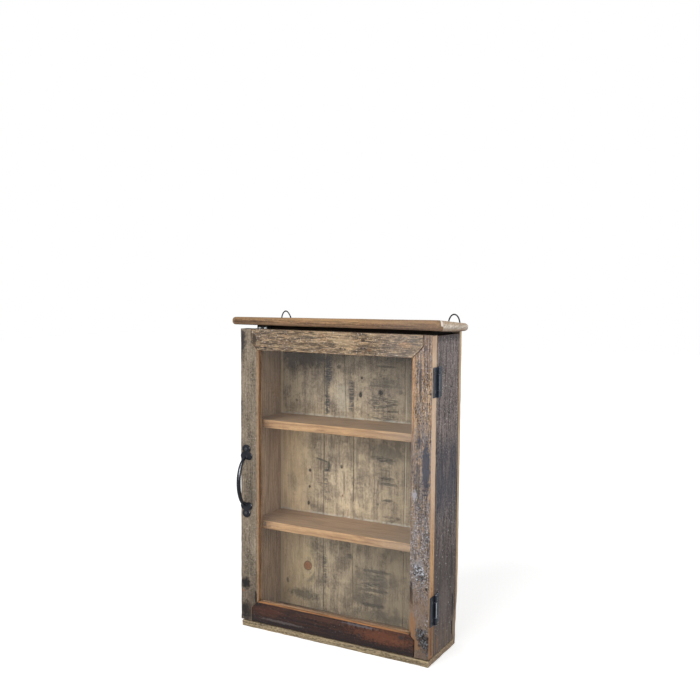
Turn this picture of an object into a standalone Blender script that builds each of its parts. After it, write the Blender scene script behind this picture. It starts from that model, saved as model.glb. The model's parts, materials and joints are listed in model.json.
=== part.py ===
"""Wall mounted showcase of reclaimed wood: glazed door, two shelves, plank back and iron pull.

Metres, +Z up. The wall is the plane y = 0, the door faces -Y, and the origin lies on the wall
side of the back planks, on the centre line, at WALL_POINT_HEIGHT above the underside.
"""
import math

import bmesh
import bpy
from mathutils import Vector

# Clearances
GAP = 0.0003                 # joint line between two pieces that touch
PIN_PLAY = 0.0001            # between a hinge pin and its knuckles
PANE_PLAY = 0.001            # round the glass, inside its rebate

# Overall
WIDTH = 0.380                # over the side panels, and over the door
CARCASS_HEIGHT = 0.5603      # underside of the bottom board to underside of the top board
WALL_POINT_HEIGHT = 0.280    # origin above the underside
ARRIS = 0.0007               # worn edge of every board
ARRIS_TURN = 30              # degrees; a sharper edge than this is worn
SMOOTH_TURN = 35             # degrees; a gentler edge than this is shaded smooth
SAME_PLACE = 1e-6            # two points this near are one

# Case
BOTTOM_THICK = 0.011
BOTTOM_INSET = 0.002         # left end of the bottom board, in from the side panel
SIDE_THICK = 0.0125
SIDE_DEPTH = 0.0967
SIDE_TOP_GAP = 0.0079        # side panels stop this far under the top board
CARCASS_TOP_THICK = 0.012
CARCASS_TOP_SETBACK = 0.0135  # its front edge, behind that of the side panels
TOP_THICK = 0.0125
TOP_OVERHANGS = {"left": 0.0230, "right": 0.0155}   # past each side panel
TOP_FRONT_OVERHANG = 0.002   # past the door
TOP_CORNER_RADIUS = 0.012
TOP_CORNER_STEPS = 6
TOP_NOSE = 0.0055            # rounding of the top board's front and ends
TOP_NOSE_STEPS = 4
SHELF_THICK = 0.0152
SHELF_SETBACK = 0.002        # shelf front, behind the side panels' front edge
SHELF_LEVELS = {"shelf_lower": 0.1981, "shelf_upper": 0.3865}   # shelf tops above the underside
PLANK_THICK = 0.0085
PLANK_SPLITS = (0.109, 0.172, 0.277)   # plank joints, from the left side
TONGUE_LENGTH = 0.003
TONGUE_THICK = 0.003

# Door
DOOR_THICK = 0.0193
DOOR_GAP = 0.001             # door to the side panels' front edges
DOOR_LIFT = 0.0014           # door above the bottom board
DOOR_HEAD_GAP = 0.0064       # door under the top board
STILE_WIDTH = 0.037
RAIL_WIDTH = 0.0387
LIP_THICK = 0.0075           # wood in front of the glass
REBATE_WIDTH = 0.008
GLASS_THICK = 0.003
BEAD_ROUND = 0.004
BEAD_ROUND_STEPS = 3
MITRES = {("left", "top"): 0.0130, ("left", "bottom"): 0.0125,
          ("right", "top"): 0.0195, ("right", "bottom"): 0.0098}   # 45 degree part of each corner

# Butt hinges
HINGE_HEIGHT = 0.050
HINGE_INSETS = {"upper": 0.0775, "lower": 0.081}   # hinge centre from the door's near end
LEAF_WIDTH = 0.018           # pin axis to leaf edge
LEAF_THICK = 0.0013
PIN_RADIUS = 0.0015
MIDDLE_KNUCKLE = 0.027
NOTCH_CLEAR = 0.0004         # leaf edge to the other leaf's knuckle
PIN_HEAD_RADIUS = 0.0023
PIN_HEAD_HEIGHT = 0.0009
PIN_HEAD_CROWN = 0.8         # radius of a pin head's end over that of its rim
CURL_START = 180.0           # degrees; where the leaf starts to curl round the pin
CURL_END = 470.0             # degrees; where its tip ends
LEAF_SCREW_SPACING = 0.030
KNUCKLE_SIDES = 24

# Pull handle
HANDLE_HEIGHT = 0.2742       # its centre above the underside
HANDLE_INSET = 0.0135        # its centre line from the door's left edge
LOBE_SPACING = 0.0925        # between the two pairs of side lobes
SIDE_LOBE_RADIUS = 0.0073
SIDE_LOBE_OFFSET = 0.00495
END_LOBE_RADIUS = 0.0085
END_LOBE_OFFSET = 0.0130     # end lobe's centre beyond the side lobes
PLATE_STEPS = 48             # points round a plate
PLATE_THICK = 0.0026
PLATE_ROUND = 0.0009
PLATE_ROUND_STEPS = 2
BOW_REACH = 0.024            # bow's centre line in front of the plates
BOW_WIDTH = 0.0082
BOW_DEPTH = 0.0070
BOW_ROOT_SHARE = 0.58        # section at the roots over that at the middle
BOW_ROOT_INSET = 0.002       # bow root inside the side lobes' centre line
BOW_STEPS = 26
BOW_SIDES = 12

# Magnetic catch and its striker
CATCH_INSET = 0.0335         # catch's centre line from the door's left edge
CATCH_SIZE = (0.021, 0.0105)  # width, height
CATCH_TOP_GAP = 0.0018       # under the top board
POLE_SIZE = (0.005, 0.007)
POLE_SPACING = 0.0125
POLE_PROUD = 0.0008
POLE_BITE = 0.003            # pole plate let into the case
STRIKER_SIZE = (0.015, 0.010, 0.001)
STRIKER_DROP = 0.0005        # striker below the door's top edge

# Hangers
HANGER_INSET = 0.016         # centre line from the outside of the side panel
HANGER_PIVOT_LEVEL = 0.0045  # ring pivot above the top board's underside
WIRE_RADIUS = 0.0013
WIRE_SIDES = 8
RING_WIDTH = 0.0245
RING_HEIGHT = 0.0192         # pivot to the middle of the ring's crown
RING_SQUARENESS = 0.95       # 1 bends the arch to a half ellipse, less squares its shoulders
RING_ARCH_STEPS = 22
RING_BAR_STEPS = 6
EYE_PLAY = 0.0003
EYE_STEPS = 18               # steps of the strap's outside round the eye
EYE_HOLE_SIDES = 24
STRAP_THICK = 0.0012
STRAP_WIDTH = 0.010
STRAP_LENGTH = 0.016         # pivot to the strap's lower end
STRAP_SCREW_DROP = 0.0095    # screw below the pivot

# Screws: rim radius, countersink depth, dome height, shank radius, length below the surface
LEAF_SCREW = (0.0025, 0.0011, 0.0004, 0.0013, 0.0100)
HANDLE_SCREW = (0.0030, 0.0016, 0.0009, 0.0014, 0.0140)
HANGER_SCREW = (0.0026, 0.0010, 0.0008, 0.0013, 0.0160)
CATCH_SCREW = (0.0022, 0.0015, 0.0003, 0.0011, 0.0210)
STRIKER_SCREW = (0.0022, 0.0009, 0.0001, 0.0011, 0.0100)
SCREW_SIDES = 12
SCREW_POINT = 0.0015         # length of the tapered end
SCREW_DOME = (0.6, 0.75)     # shares of the rim radius and dome height, halfway over the dome

# Planes and levels that follow from the above
HALF = WIDTH / 2
Y_PLANK_FRONT = -PLANK_THICK
Y_CASE_REAR = Y_PLANK_FRONT - GAP
Y_CASE_FRONT = Y_CASE_REAR - SIDE_DEPTH
Y_DOOR_REAR = Y_CASE_FRONT - DOOR_GAP
Y_DOOR_FRONT = Y_DOOR_REAR - DOOR_THICK
Z_BASE = -WALL_POINT_HEIGHT
Z_FLOOR = Z_BASE + BOTTOM_THICK
Z_TOP_BOARD = Z_BASE + CARCASS_HEIGHT
Z_CARCASS_TOP = Z_TOP_BOARD - GAP - CARCASS_TOP_THICK
Z_DOOR_LOW = Z_FLOOR + DOOR_LIFT
Z_DOOR_HIGH = Z_TOP_BOARD - DOOR_HEAD_GAP
X_INNER = HALF - SIDE_THICK - GAP
OPENING_X = HALF - STILE_WIDTH
OPENING_LOW = Z_DOOR_LOW + RAIL_WIDTH
OPENING_HIGH = Z_DOOR_HIGH - RAIL_WIDTH
Y_GLASS_FRONT = Y_DOOR_FRONT + LIP_THICK + GAP
Y_GLASS_REAR = Y_GLASS_FRONT + GLASS_THICK
KNUCKLE_RADIUS = PIN_RADIUS + PIN_PLAY + LEAF_THICK
HINGE_X = HALF + GAP + KNUCKLE_RADIUS
HINGE_Y = Y_DOOR_REAR + DOOR_GAP / 2

MATERIALS = {                # base colour, roughness, metallic
    "wood_side": ((0.145, 0.120, 0.105), 0.75, 0.0),
    "wood_top": ((0.330, 0.225, 0.140), 0.70, 0.0),
    "wood_bottom": ((0.360, 0.300, 0.190), 0.80, 0.0),
    "wood_back": ((0.290, 0.235, 0.150), 0.75, 0.0),
    "wood_shelf": ((0.430, 0.270, 0.150), 0.65, 0.0),
    "wood_stile_left": ((0.235, 0.200, 0.150), 0.78, 0.0),
    "wood_stile_right": ((0.270, 0.230, 0.190), 0.80, 0.0),
    "wood_rail_top": ((0.270, 0.200, 0.135), 0.80, 0.0),
    "wood_rail_bottom": ((0.085, 0.045, 0.032), 0.60, 0.0),
    "wood_bead": ((0.260, 0.150, 0.080), 0.65, 0.0),
    "glass": ((0.900, 0.920, 0.910), 0.05, 0.0),
    "black_iron": ((0.025, 0.026, 0.030), 0.35, 1.0),
    "screw_steel": ((0.090, 0.092, 0.100), 0.40, 1.0),
    "bright_steel": ((0.560, 0.570, 0.580), 0.30, 1.0),
    "catch_plastic": ((0.020, 0.020, 0.022), 0.50, 0.0),
}


def clear_scene():
    for item in list(bpy.data.objects):
        bpy.data.objects.remove(item, do_unlink=True)


def make_materials():
    for name, (colour, roughness, metallic) in MATERIALS.items():
        material = bpy.data.materials.new(name)
        material.use_nodes = True
        shader = material.node_tree.nodes["Principled BSDF"]
        shader.inputs["Base Color"].default_value = (*colour, 1.0)
        shader.inputs["Roughness"].default_value = roughness
        shader.inputs["Metallic"].default_value = metallic
        material.diffuse_color = (*colour, 1.0)


# ---- Meshes ---------------------------------------------------------------------------------

def box_mesh(low, high):
    mesh = bmesh.new()
    bmesh.ops.create_cube(mesh, size=1.0)
    size = [high[k] - low[k] for k in range(3)]
    middle = [(high[k] + low[k]) / 2 for k in range(3)]
    bmesh.ops.scale(mesh, vec=size, verts=mesh.verts)
    bmesh.ops.translate(mesh, vec=middle, verts=mesh.verts)
    return mesh


def prism_mesh(outline, along, start, end):
    """Extrude an outline along one axis. Its points are the other two coordinates, in order."""
    mesh = bmesh.new()
    axis = "XYZ".index(along)
    points = []
    for first, second in outline:
        point = [first, second]
        point.insert(axis, start)
        points.append(mesh.verts.new(point))
    base = mesh.faces.new(points)
    raised = bmesh.ops.extrude_face_region(mesh, geom=[base])["geom"]
    shift = [0.0, 0.0, 0.0]
    shift[axis] = end - start
    moved = [item for item in raised if isinstance(item, bmesh.types.BMVert)]
    bmesh.ops.translate(mesh, vec=shift, verts=moved)
    bmesh.ops.recalc_face_normals(mesh, faces=mesh.faces)
    return mesh


def turned_mesh(profile, sides):
    """Spin a profile of (radius, height) pairs, from axis to axis, round Z."""
    mesh = bmesh.new()
    chain = [mesh.verts.new((radius, 0.0, height)) for radius, height in profile]
    edges = [mesh.edges.new(pair) for pair in zip(chain, chain[1:])]
    bmesh.ops.spin(mesh, geom=chain + edges, cent=(0, 0, 0), axis=(0, 0, 1),
                   angle=math.tau, steps=sides, use_merge=True)
    bmesh.ops.remove_doubles(mesh, verts=mesh.verts, dist=SAME_PLACE)
    bmesh.ops.recalc_face_normals(mesh, faces=mesh.faces)
    return mesh


def swept_mesh(frames, sides, closed):
    """Skin a run of elliptic sections. A frame is (centre, first half axis, second half axis)."""
    mesh = bmesh.new()
    rings = []
    for centre, first, second in frames:
        ring = []
        for k in range(sides):
            turn = math.tau * k / sides
            ring.append(mesh.verts.new(centre + first * math.cos(turn) + second * math.sin(turn)))
        rings.append(ring)
    pairs = list(zip(rings, rings[1:]))
    if closed:
        pairs.append((rings[-1], rings[0]))
    else:
        mesh.faces.new(rings[0])
        mesh.faces.new(rings[-1])
    for here, there in pairs:
        for k in range(sides):
            after = (k + 1) % sides
            mesh.faces.new((here[k], here[after], there[after], there[k]))
    bmesh.ops.recalc_face_normals(mesh, faces=mesh.faces)
    return mesh


def arc(centre, radius, start, end, steps):
    """Points on an arc, angles in degrees."""
    points = []
    for k in range(steps + 1):
        turn = math.radians(start + (end - start) * k / steps)
        points.append((centre[0] + radius * math.cos(turn), centre[1] + radius * math.sin(turn)))
    return points


# ---- Objects --------------------------------------------------------------------------------

def add_object(name, mesh, material, origin, parent=None, smooth=False):
    """Store a bmesh drawn in world coordinates, with the object's origin where stated."""
    bmesh.ops.translate(mesh, vec=-Vector(origin), verts=mesh.verts)
    data = bpy.data.meshes.new(name)
    mesh.to_mesh(data)
    mesh.free()
    return place_mesh(name, data, material, origin, parent, smooth)


def place_mesh(name, data, material, origin, parent=None, smooth=False):
    item = bpy.data.objects.new(name, data)
    bpy.context.scene.collection.objects.link(item)
    item.location = Vector(origin)
    if parent is not None:
        item.parent = parent
        item.location -= parent.location
    if material and not data.materials:
        data.materials.append(bpy.data.materials[material])
    if smooth:
        data.shade_smooth()
        data.set_sharp_from_angle(angle=math.radians(SMOOTH_TURN))
    return item


def soften(item):
    bevel = item.modifiers.new("arris", "BEVEL")
    bevel.width = ARRIS
    bevel.segments = 1
    bevel.limit_method = "ANGLE"
    bevel.angle_limit = math.radians(ARRIS_TURN)


def board(name, low, high, material, parent=None):
    middle = [(low[k] + high[k]) / 2 for k in range(3)]
    item = add_object(name, box_mesh(low, high), material, middle, parent)
    soften(item)
    return item


def tool(name, mesh, origin=(0, 0, 0), parent=None):
    """A shape that only cuts or joins: hidden, drawn as wire."""
    item = add_object(name, mesh, None, origin, parent)
    item.hide_render = True
    item.display_type = "WIRE"
    return item


def combine(item, other, operation):
    step = item.modifiers.new(other.name, "BOOLEAN")
    step.operation = operation
    step.solver = "EXACT"
    step.object = other


def empty(name, location):
    item = bpy.data.objects.new(name, None)
    bpy.context.scene.collection.objects.link(item)
    item.location = location
    item.empty_display_size = 0.02
    return item


# ---- Screws ---------------------------------------------------------------------------------

def screw_profile(size):
    rim, sink, dome, shank, length = size
    wide, tall = SCREW_DOME
    return [(0, dome), (rim * wide, dome * tall), (rim, 0), (shank, -sink),
            (shank, SCREW_POINT - length), (0, -length)]


def hole_profile(size):
    rim, sink, dome, shank, length = size
    above = dome + GAP
    return [(0, above), (rim + GAP, above), (rim + GAP, -GAP), (shank + GAP, -sink - GAP),
            (shank + GAP, -length - GAP), (0, -length - GAP)]


def screw(name, size, place, outward, holed, parent=None, material="screw_steel"):
    """Put a screw in a surface, its rim level with it, and bore a hole one joint line wider."""
    turn = Vector(outward).to_track_quat("Z", "Y")
    item = add_object(name, turned_mesh(screw_profile(size), SCREW_SIDES), material, (0, 0, 0),
                      smooth=True)
    bore = tool(name + "_bore", turned_mesh(hole_profile(size), SCREW_SIDES))
    for each in (item, bore):
        each.rotation_euler = turn.to_euler()
        each.location = Vector(place)
        if parent is not None:
            each.parent = parent
            each.location -= parent.location
    for piece in holed:
        combine(piece, bore, "DIFFERENCE")
    return item


# ---- Case -----------------------------------------------------------------------------------

def side_panels():
    panels = {}
    for side, sign in (("left", -1), ("right", 1)):
        edges = sorted((sign * HALF, sign * (HALF - SIDE_THICK)))
        panels[side] = board("side_panel_" + side, (edges[0], Y_CASE_FRONT, Z_FLOOR + GAP),
                             (edges[1], Y_CASE_REAR, Z_TOP_BOARD - SIDE_TOP_GAP), "wood_side")
    return panels


def bottom_board():
    return board("bottom_board", (-HALF + BOTTOM_INSET, Y_DOOR_FRONT, Z_BASE),
                 (HALF, Y_CASE_REAR, Z_FLOOR), "wood_bottom")


def carcass_top():
    return board("carcass_top", (-X_INNER, Y_CASE_FRONT + CARCASS_TOP_SETBACK, Z_CARCASS_TOP),
                 (X_INNER, Y_CASE_REAR, Z_CARCASS_TOP + CARCASS_TOP_THICK), "wood_side")


def shelves():
    for name, level in SHELF_LEVELS.items():
        top = Z_BASE + level
        board(name, (-X_INNER, Y_CASE_FRONT + SHELF_SETBACK, top - SHELF_THICK),
              (X_INNER, Y_CASE_REAR, top), "wood_shelf")


def top_board():
    """Board with round plan corners, and a nose round its front and ends."""
    right = HALF + TOP_OVERHANGS["right"] - TOP_CORNER_RADIUS
    left = TOP_CORNER_RADIUS - HALF - TOP_OVERHANGS["left"]
    front = Y_DOOR_FRONT - TOP_FRONT_OVERHANG
    corners = ((right, -TOP_CORNER_RADIUS, 0), (left, -TOP_CORNER_RADIUS, 90),
               (left, front + TOP_CORNER_RADIUS, 180), (right, front + TOP_CORNER_RADIUS, 270))
    outline = []
    for x, y, start in corners:
        outline += arc((x, y), TOP_CORNER_RADIUS, start, start + 90, TOP_CORNER_STEPS)
    mesh = prism_mesh(outline, "Z", Z_TOP_BOARD, Z_TOP_BOARD + TOP_THICK)
    rim = [edge for edge in mesh.edges
           if abs(edge.verts[0].co.z - edge.verts[1].co.z) < SAME_PLACE
           and min(edge.verts[0].co.y, edge.verts[1].co.y) < -SAME_PLACE]
    bmesh.ops.bevel(mesh, geom=rim, offset=TOP_NOSE, segments=TOP_NOSE_STEPS, profile=0.5,
                    affect="EDGES", clamp_overlap=True)
    middle = ((left + right) / 2, front / 2, Z_TOP_BOARD + TOP_THICK / 2)
    return add_object("top_board", mesh, "wood_top", middle, smooth=True)


def back_planks():
    """Vertical planks, each with a tongue on its right edge and a groove in its left edge."""
    planks = []
    edges = [-HALF] + [split - HALF for split in PLANK_SPLITS] + [HALF]
    middle = Y_PLANK_FRONT / 2
    near, far = middle - TONGUE_THICK / 2, middle + TONGUE_THICK / 2
    last = len(edges) - 2
    for k, (left, right) in enumerate(zip(edges, edges[1:])):
        outline = [(left, 0.0)]
        if k > 0:
            deep = left + TONGUE_LENGTH + GAP
            outline += [(left, far + GAP), (deep, far + GAP), (deep, near - GAP), (left, near - GAP)]
        outline.append((left, Y_PLANK_FRONT))
        edge = right if k == last else right - GAP
        outline.append((edge, Y_PLANK_FRONT))
        if k < last:
            tip = edge + TONGUE_LENGTH
            outline += [(edge, near), (tip, near), (tip, far), (edge, far)]
        outline.append((edge, 0.0))
        mesh = prism_mesh(outline, "Z", Z_BASE + GAP, Z_TOP_BOARD - GAP)
        place = ((left + right) / 2, middle, (Z_BASE + Z_TOP_BOARD) / 2)
        planks.append(add_object("back_plank_%d" % (k + 1), mesh, "wood_back", place))
    return planks


# ---- Door -----------------------------------------------------------------------------------

def corner_joint(side, end, shift):
    """Points of a corner's joint line, from the door's edge to the opening's corner."""
    sign = -1 if side == "left" else 1
    run = MITRES[side, end]
    up = 1 if end == "top" else -1
    corner = OPENING_HIGH if end == "top" else OPENING_LOW
    edge = Z_DOOR_HIGH if end == "top" else Z_DOOR_LOW
    joint = sign * (OPENING_X + run) - sign * shift
    return [(joint, edge), (joint, corner + up * run), (sign * OPENING_X - sign * shift, corner)]


def door_frame(parent):
    """Stiles run full height. Each corner starts as a mitre and ends as a straight butt."""
    members = {}
    for side, sign in (("left", -1), ("right", 1)):
        top = corner_joint(side, "top", 0)
        bottom = corner_joint(side, "bottom", 0)
        outline = [(sign * HALF, Z_DOOR_LOW), (sign * HALF, Z_DOOR_HIGH)] + top + bottom[::-1]
        members["stile_" + side] = outline
    for end in ("top", "bottom"):
        left = corner_joint("left", end, GAP)
        right = corner_joint("right", end, GAP)
        members["rail_" + end] = left + right[::-1]
    rebate = tool("rebate_cutter", box_mesh(
        (-OPENING_X - REBATE_WIDTH, Y_DOOR_FRONT + LIP_THICK, OPENING_LOW - REBATE_WIDTH),
        (OPENING_X + REBATE_WIDTH, Y_DOOR_REAR + GAP, OPENING_HIGH + REBATE_WIDTH)),
        parent=parent)
    for name, outline in members.items():
        mesh = prism_mesh(outline, "Y", Y_DOOR_FRONT, Y_DOOR_REAR)
        xs = [point[0] for point in outline]
        zs = [point[1] for point in outline]
        place = ((min(xs) + max(xs)) / 2, Y_DOOR_FRONT + DOOR_THICK / 2, (min(zs) + max(zs)) / 2)
        item = add_object("door_" + name, mesh, "wood_" + name, place, parent)
        soften(item)
        combine(item, rebate, "DIFFERENCE")
        members[name] = item
    return members


def glazing(parent):
    """Glass in the rebate, held from behind by four mitred beads."""
    pane = REBATE_WIDTH - PANE_PLAY
    low = (-OPENING_X - pane, Y_GLASS_FRONT, OPENING_LOW - pane)
    high = (OPENING_X + pane, Y_GLASS_REAR, OPENING_HIGH + pane)
    middle = [(low[k] + high[k]) / 2 for k in range(3)]
    add_object("glass_pane", box_mesh(low, high), "glass", middle, parent)

    wide = REBATE_WIDTH - GAP
    x_in, x_out = OPENING_X, OPENING_X + wide
    z_in = (OPENING_LOW, OPENING_HIGH)
    z_out = (OPENING_LOW - wide, OPENING_HIGH + wide)
    for side, sign in (("left", -1), ("right", 1)):
        outline = [(sign * x_in, z_in[0] + GAP), (sign * x_in, z_in[1] - GAP),
                   (sign * x_out, z_out[1] - GAP), (sign * x_out, z_out[0] + GAP)]
        bead("glazing_bead_" + side, outline, parent)
    for end, k in (("bottom", 0), ("top", 1)):
        outline = [(-x_in, z_in[k]), (x_in, z_in[k]), (x_out, z_out[k]), (-x_out, z_out[k])]
        bead("glazing_bead_" + end, outline, parent)


def bead(name, outline, parent):
    """The outline's first edge is the visible one: its rear arris is rounded."""
    mesh = prism_mesh(outline, "Y", Y_GLASS_REAR + GAP, Y_DOOR_REAR)
    ends = [Vector((x, Y_DOOR_REAR, z)) for x, z in outline[:2]]
    rim = [edge for edge in mesh.edges
           if all(min((vert.co - end).length for end in ends) < SAME_PLACE for vert in edge.verts)]
    bmesh.ops.bevel(mesh, geom=rim, offset=BEAD_ROUND, segments=BEAD_ROUND_STEPS, profile=0.5,
                    affect="EDGES")
    centre = [sum(point[k] for point in outline) / 4 for k in range(2)]
    place = (centre[0], (Y_GLASS_REAR + Y_DOOR_REAR) / 2, centre[1])
    add_object(name, mesh, "wood_bead", place, parent)


# ---- Hinges ---------------------------------------------------------------------------------

def leaf_mesh(facing, low, high):
    """Strip that runs along the wood and curls round the pin. facing is +1 towards the wall."""
    bore = PIN_RADIUS + PIN_PLAY
    steps = int(KNUCKLE_SIDES * (CURL_END - CURL_START) / 360)
    outer = arc((0, 0), KNUCKLE_RADIUS, CURL_START, CURL_END, steps)
    inner = arc((0, 0), bore, CURL_END, CURL_START, steps)
    strip = [(-KNUCKLE_RADIUS, LEAF_WIDTH)] + outer + inner + [(-bore, LEAF_WIDTH)]
    outline = [(HINGE_X + x, HINGE_Y + facing * y) for x, y in strip]
    return prism_mesh(outline, "Z", low, high)


def notch(name, facing, low, high, parent):
    """Room in a leaf for the other leaf's knuckle."""
    wide = KNUCKLE_RADIUS + NOTCH_CLEAR
    ys = sorted((HINGE_Y - facing * wide, HINGE_Y + facing * wide))
    return tool(name, box_mesh((HINGE_X - wide, ys[0], low), (HINGE_X + wide, ys[1], high)),
                parent=parent)


def hinge(which, centre, door_wood, case_wood, parent):
    low, high = centre - HINGE_HEIGHT / 2, centre + HINGE_HEIGHT / 2
    inner_low, inner_high = centre - MIDDLE_KNUCKLE / 2, centre + MIDDLE_KNUCKLE / 2
    name = "hinge_" + which
    origin = (HINGE_X, HINGE_Y, centre)
    door_leaf = add_object(name + "_door_leaf", leaf_mesh(-1, low, high), "black_iron", origin,
                           parent, smooth=True)
    combine(door_leaf, notch(name + "_middle_notch", -1, inner_low, inner_high, parent),
            "DIFFERENCE")
    case_leaf = add_object(name + "_case_leaf", leaf_mesh(1, low, high), "black_iron", origin,
                           smooth=True)
    ends = (("low", low - GAP, inner_low + GAP), ("high", inner_high - GAP, high + GAP))
    for label, start, stop in ends:
        combine(case_leaf, notch(name + "_notch_" + label, 1, start, stop, None), "DIFFERENCE")

    rise = HINGE_HEIGHT / 2 + GAP
    cap = rise + PIN_HEAD_HEIGHT
    crown = PIN_HEAD_RADIUS * PIN_HEAD_CROWN
    profile = [(0, -cap), (crown, -cap), (PIN_HEAD_RADIUS, -rise), (PIN_RADIUS, -rise),
               (PIN_RADIUS, rise), (PIN_HEAD_RADIUS, rise), (crown, cap), (0, cap)]
    pin = turned_mesh(profile, KNUCKLE_SIDES)
    bmesh.ops.translate(pin, vec=origin, verts=pin.verts)
    add_object(name + "_pin", pin, "black_iron", origin, smooth=True)

    face = HALF + GAP + LEAF_THICK
    sides = (("door", -1, door_leaf, door_wood, parent), ("case", 1, case_leaf, case_wood, None))
    for body, facing, leaf, wood, holder in sides:
        across = HINGE_Y + facing * (KNUCKLE_RADIUS + NOTCH_CLEAR + LEAF_WIDTH) / 2
        for k, step in enumerate((-1, 1)):
            place = (face, across, centre + step * LEAF_SCREW_SPACING / 2)
            screw("%s_%s_screw_%d" % (name, body, k + 1), LEAF_SCREW, place, (1, 0, 0),
                  (leaf, wood), holder)


# ---- Pull handle ----------------------------------------------------------------------------

def trefoil():
    """Outline of a plate with two side lobes and an end lobe, from the side lobes' middle."""
    lobes = ((SIDE_LOBE_OFFSET, 0.0, SIDE_LOBE_RADIUS), (-SIDE_LOBE_OFFSET, 0.0, SIDE_LOBE_RADIUS),
             (0.0, END_LOBE_OFFSET, END_LOBE_RADIUS))
    outline = []
    for k in range(PLATE_STEPS):
        turn = math.tau * (k + 0.5) / PLATE_STEPS
        dx, dz = math.cos(turn), math.sin(turn)
        reach = 0.0
        for x, z, radius in lobes:
            along = dx * x + dz * z
            inside = along ** 2 - x ** 2 - z ** 2 + radius ** 2
            if inside >= 0:
                reach = max(reach, along + math.sqrt(inside))
        outline.append((dx * reach, dz * reach))
    return outline


def handle_plate(up, x, z):
    """One plate, its end lobe pointing up (+1) or down (-1), with a rounded front rim."""
    back = Y_DOOR_FRONT - GAP
    front = back - PLATE_THICK
    outline = [(x + px, z + up * pz) for px, pz in trefoil()]
    mesh = prism_mesh(outline, "Y", back, front)
    rim = [edge for edge in mesh.edges
           if all(abs(vert.co.y - front) < SAME_PLACE for vert in edge.verts)]
    bmesh.ops.bevel(mesh, geom=rim, offset=PLATE_ROUND, segments=PLATE_ROUND_STEPS, profile=0.5,
                    affect="EDGES")
    return mesh


def handle_bow(x, z):
    """Half ellipse between the plates, its section swelling towards the middle."""
    root = Y_DOOR_FRONT - GAP - PLATE_THICK / 2
    rise = LOBE_SPACING / 2 - BOW_ROOT_INSET
    frames = []
    for k in range(BOW_STEPS + 1):
        turn = math.pi * k / BOW_STEPS
        share = BOW_ROOT_SHARE + (1 - BOW_ROOT_SHARE) * math.sin(turn)
        centre = Vector((x, root - BOW_REACH * math.sin(turn), z + rise * math.cos(turn)))
        outward = Vector((0, -math.sin(turn) * rise, math.cos(turn) * BOW_REACH)).normalized()
        across = Vector((BOW_WIDTH / 2 * share, 0, 0))
        frames.append((centre, across, outward * BOW_DEPTH / 2 * share))
    return swept_mesh(frames, BOW_SIDES, closed=False)


def pull_handle(frame, parent):
    x = -HALF + HANDLE_INSET
    z = Z_BASE + HANDLE_HEIGHT
    centre = (x, Y_DOOR_FRONT, z)
    handle = add_object("pull_handle", handle_bow(x, z), "black_iron", centre, parent, smooth=True)
    face = Y_DOOR_FRONT - GAP - PLATE_THICK
    plates = (("upper", 1), ("lower", -1))
    for name, up in plates:
        middle = z + up * LOBE_SPACING / 2
        combine(handle, tool("handle_plate_" + name, handle_plate(up, x, middle), parent=parent),
                "UNION")
    for name, up in plates:
        place = (x, face, z + up * (LOBE_SPACING / 2 + END_LOBE_OFFSET))
        screw("handle_screw_" + name, HANDLE_SCREW, place, (0, -1, 0),
              (handle, frame["stile_left"]), parent)


# ---- Catch ----------------------------------------------------------------------------------

def magnetic_catch(case_top, frame, parent):
    """Case with two pole plates on the carcass top's front edge, and a striker on the door."""
    x = -HALF + CATCH_INSET
    striker_face = Y_DOOR_REAR + GAP + STRIKER_SIZE[2]
    pole_face = striker_face + GAP
    case_front = pole_face + POLE_PROUD
    case_rear = Y_CASE_FRONT + CARCASS_TOP_SETBACK - GAP
    high = Z_TOP_BOARD - CATCH_TOP_GAP
    low = high - CATCH_SIZE[1]
    middle = (low + high) / 2
    half = CATCH_SIZE[0] / 2
    case = board("catch_case", (x - half, case_front, low), (x + half, case_rear, high),
                 "catch_plastic")
    for side, sign in (("left", -1), ("right", 1)):
        across = x + sign * POLE_SPACING / 2
        wide, tall = POLE_SIZE[0] / 2, POLE_SIZE[1] / 2
        slot_low = (across - wide - GAP, case_front - GAP, middle - tall - GAP)
        slot_high = (across + wide + GAP, case_front + POLE_BITE + GAP, middle + tall + GAP)
        combine(case, tool("pole_slot_" + side, box_mesh(slot_low, slot_high)), "DIFFERENCE")
        board("catch_pole_" + side, (across - wide, pole_face, middle - tall),
              (across + wide, case_front + POLE_BITE, middle + tall), "bright_steel")
    screw("catch_screw", CATCH_SCREW, (x, case_front, middle), (0, -1, 0), (case, case_top))

    top = Z_DOOR_HIGH - STRIKER_DROP
    wide = STRIKER_SIZE[0] / 2
    low_corner = (x - wide, Y_DOOR_REAR + GAP, top - STRIKER_SIZE[1])
    high_corner = (x + wide, striker_face, top)
    centre = [(low_corner[k] + high_corner[k]) / 2 for k in range(3)]
    striker = add_object("striker_plate", box_mesh(low_corner, high_corner), "bright_steel", centre,
                         parent)
    screw("striker_screw", STRIKER_SCREW, (x, striker_face, top - STRIKER_SIZE[1] / 2), (0, 1, 0),
          (striker, frame["rail_top"]), parent)


# ---- Hangers --------------------------------------------------------------------------------

def ring_mesh(centre):
    """Wire ring: a straight bar through the eye, and an arch over it."""
    half = RING_WIDTH / 2 - WIRE_RADIUS
    points = []
    for k in range(RING_ARCH_STEPS + 1):
        turn = math.pi * k / RING_ARCH_STEPS
        across = math.copysign(abs(math.cos(turn)) ** RING_SQUARENESS, math.cos(turn))
        points.append(Vector((half * across, 0, RING_HEIGHT * math.sin(turn))))
    for k in range(1, RING_BAR_STEPS):
        points.append(Vector((half * (2 * k / RING_BAR_STEPS - 1), 0, 0)))
    frames = []
    for k, point in enumerate(points):
        run = (points[(k + 1) % len(points)] - points[k - 1]).normalized()
        side = Vector((run.z, 0, -run.x))
        frames.append((Vector(centre) + point, side * WIRE_RADIUS, Vector((0, WIRE_RADIUS, 0))))
    return swept_mesh(frames, WIRE_SIDES, closed=True)


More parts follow.
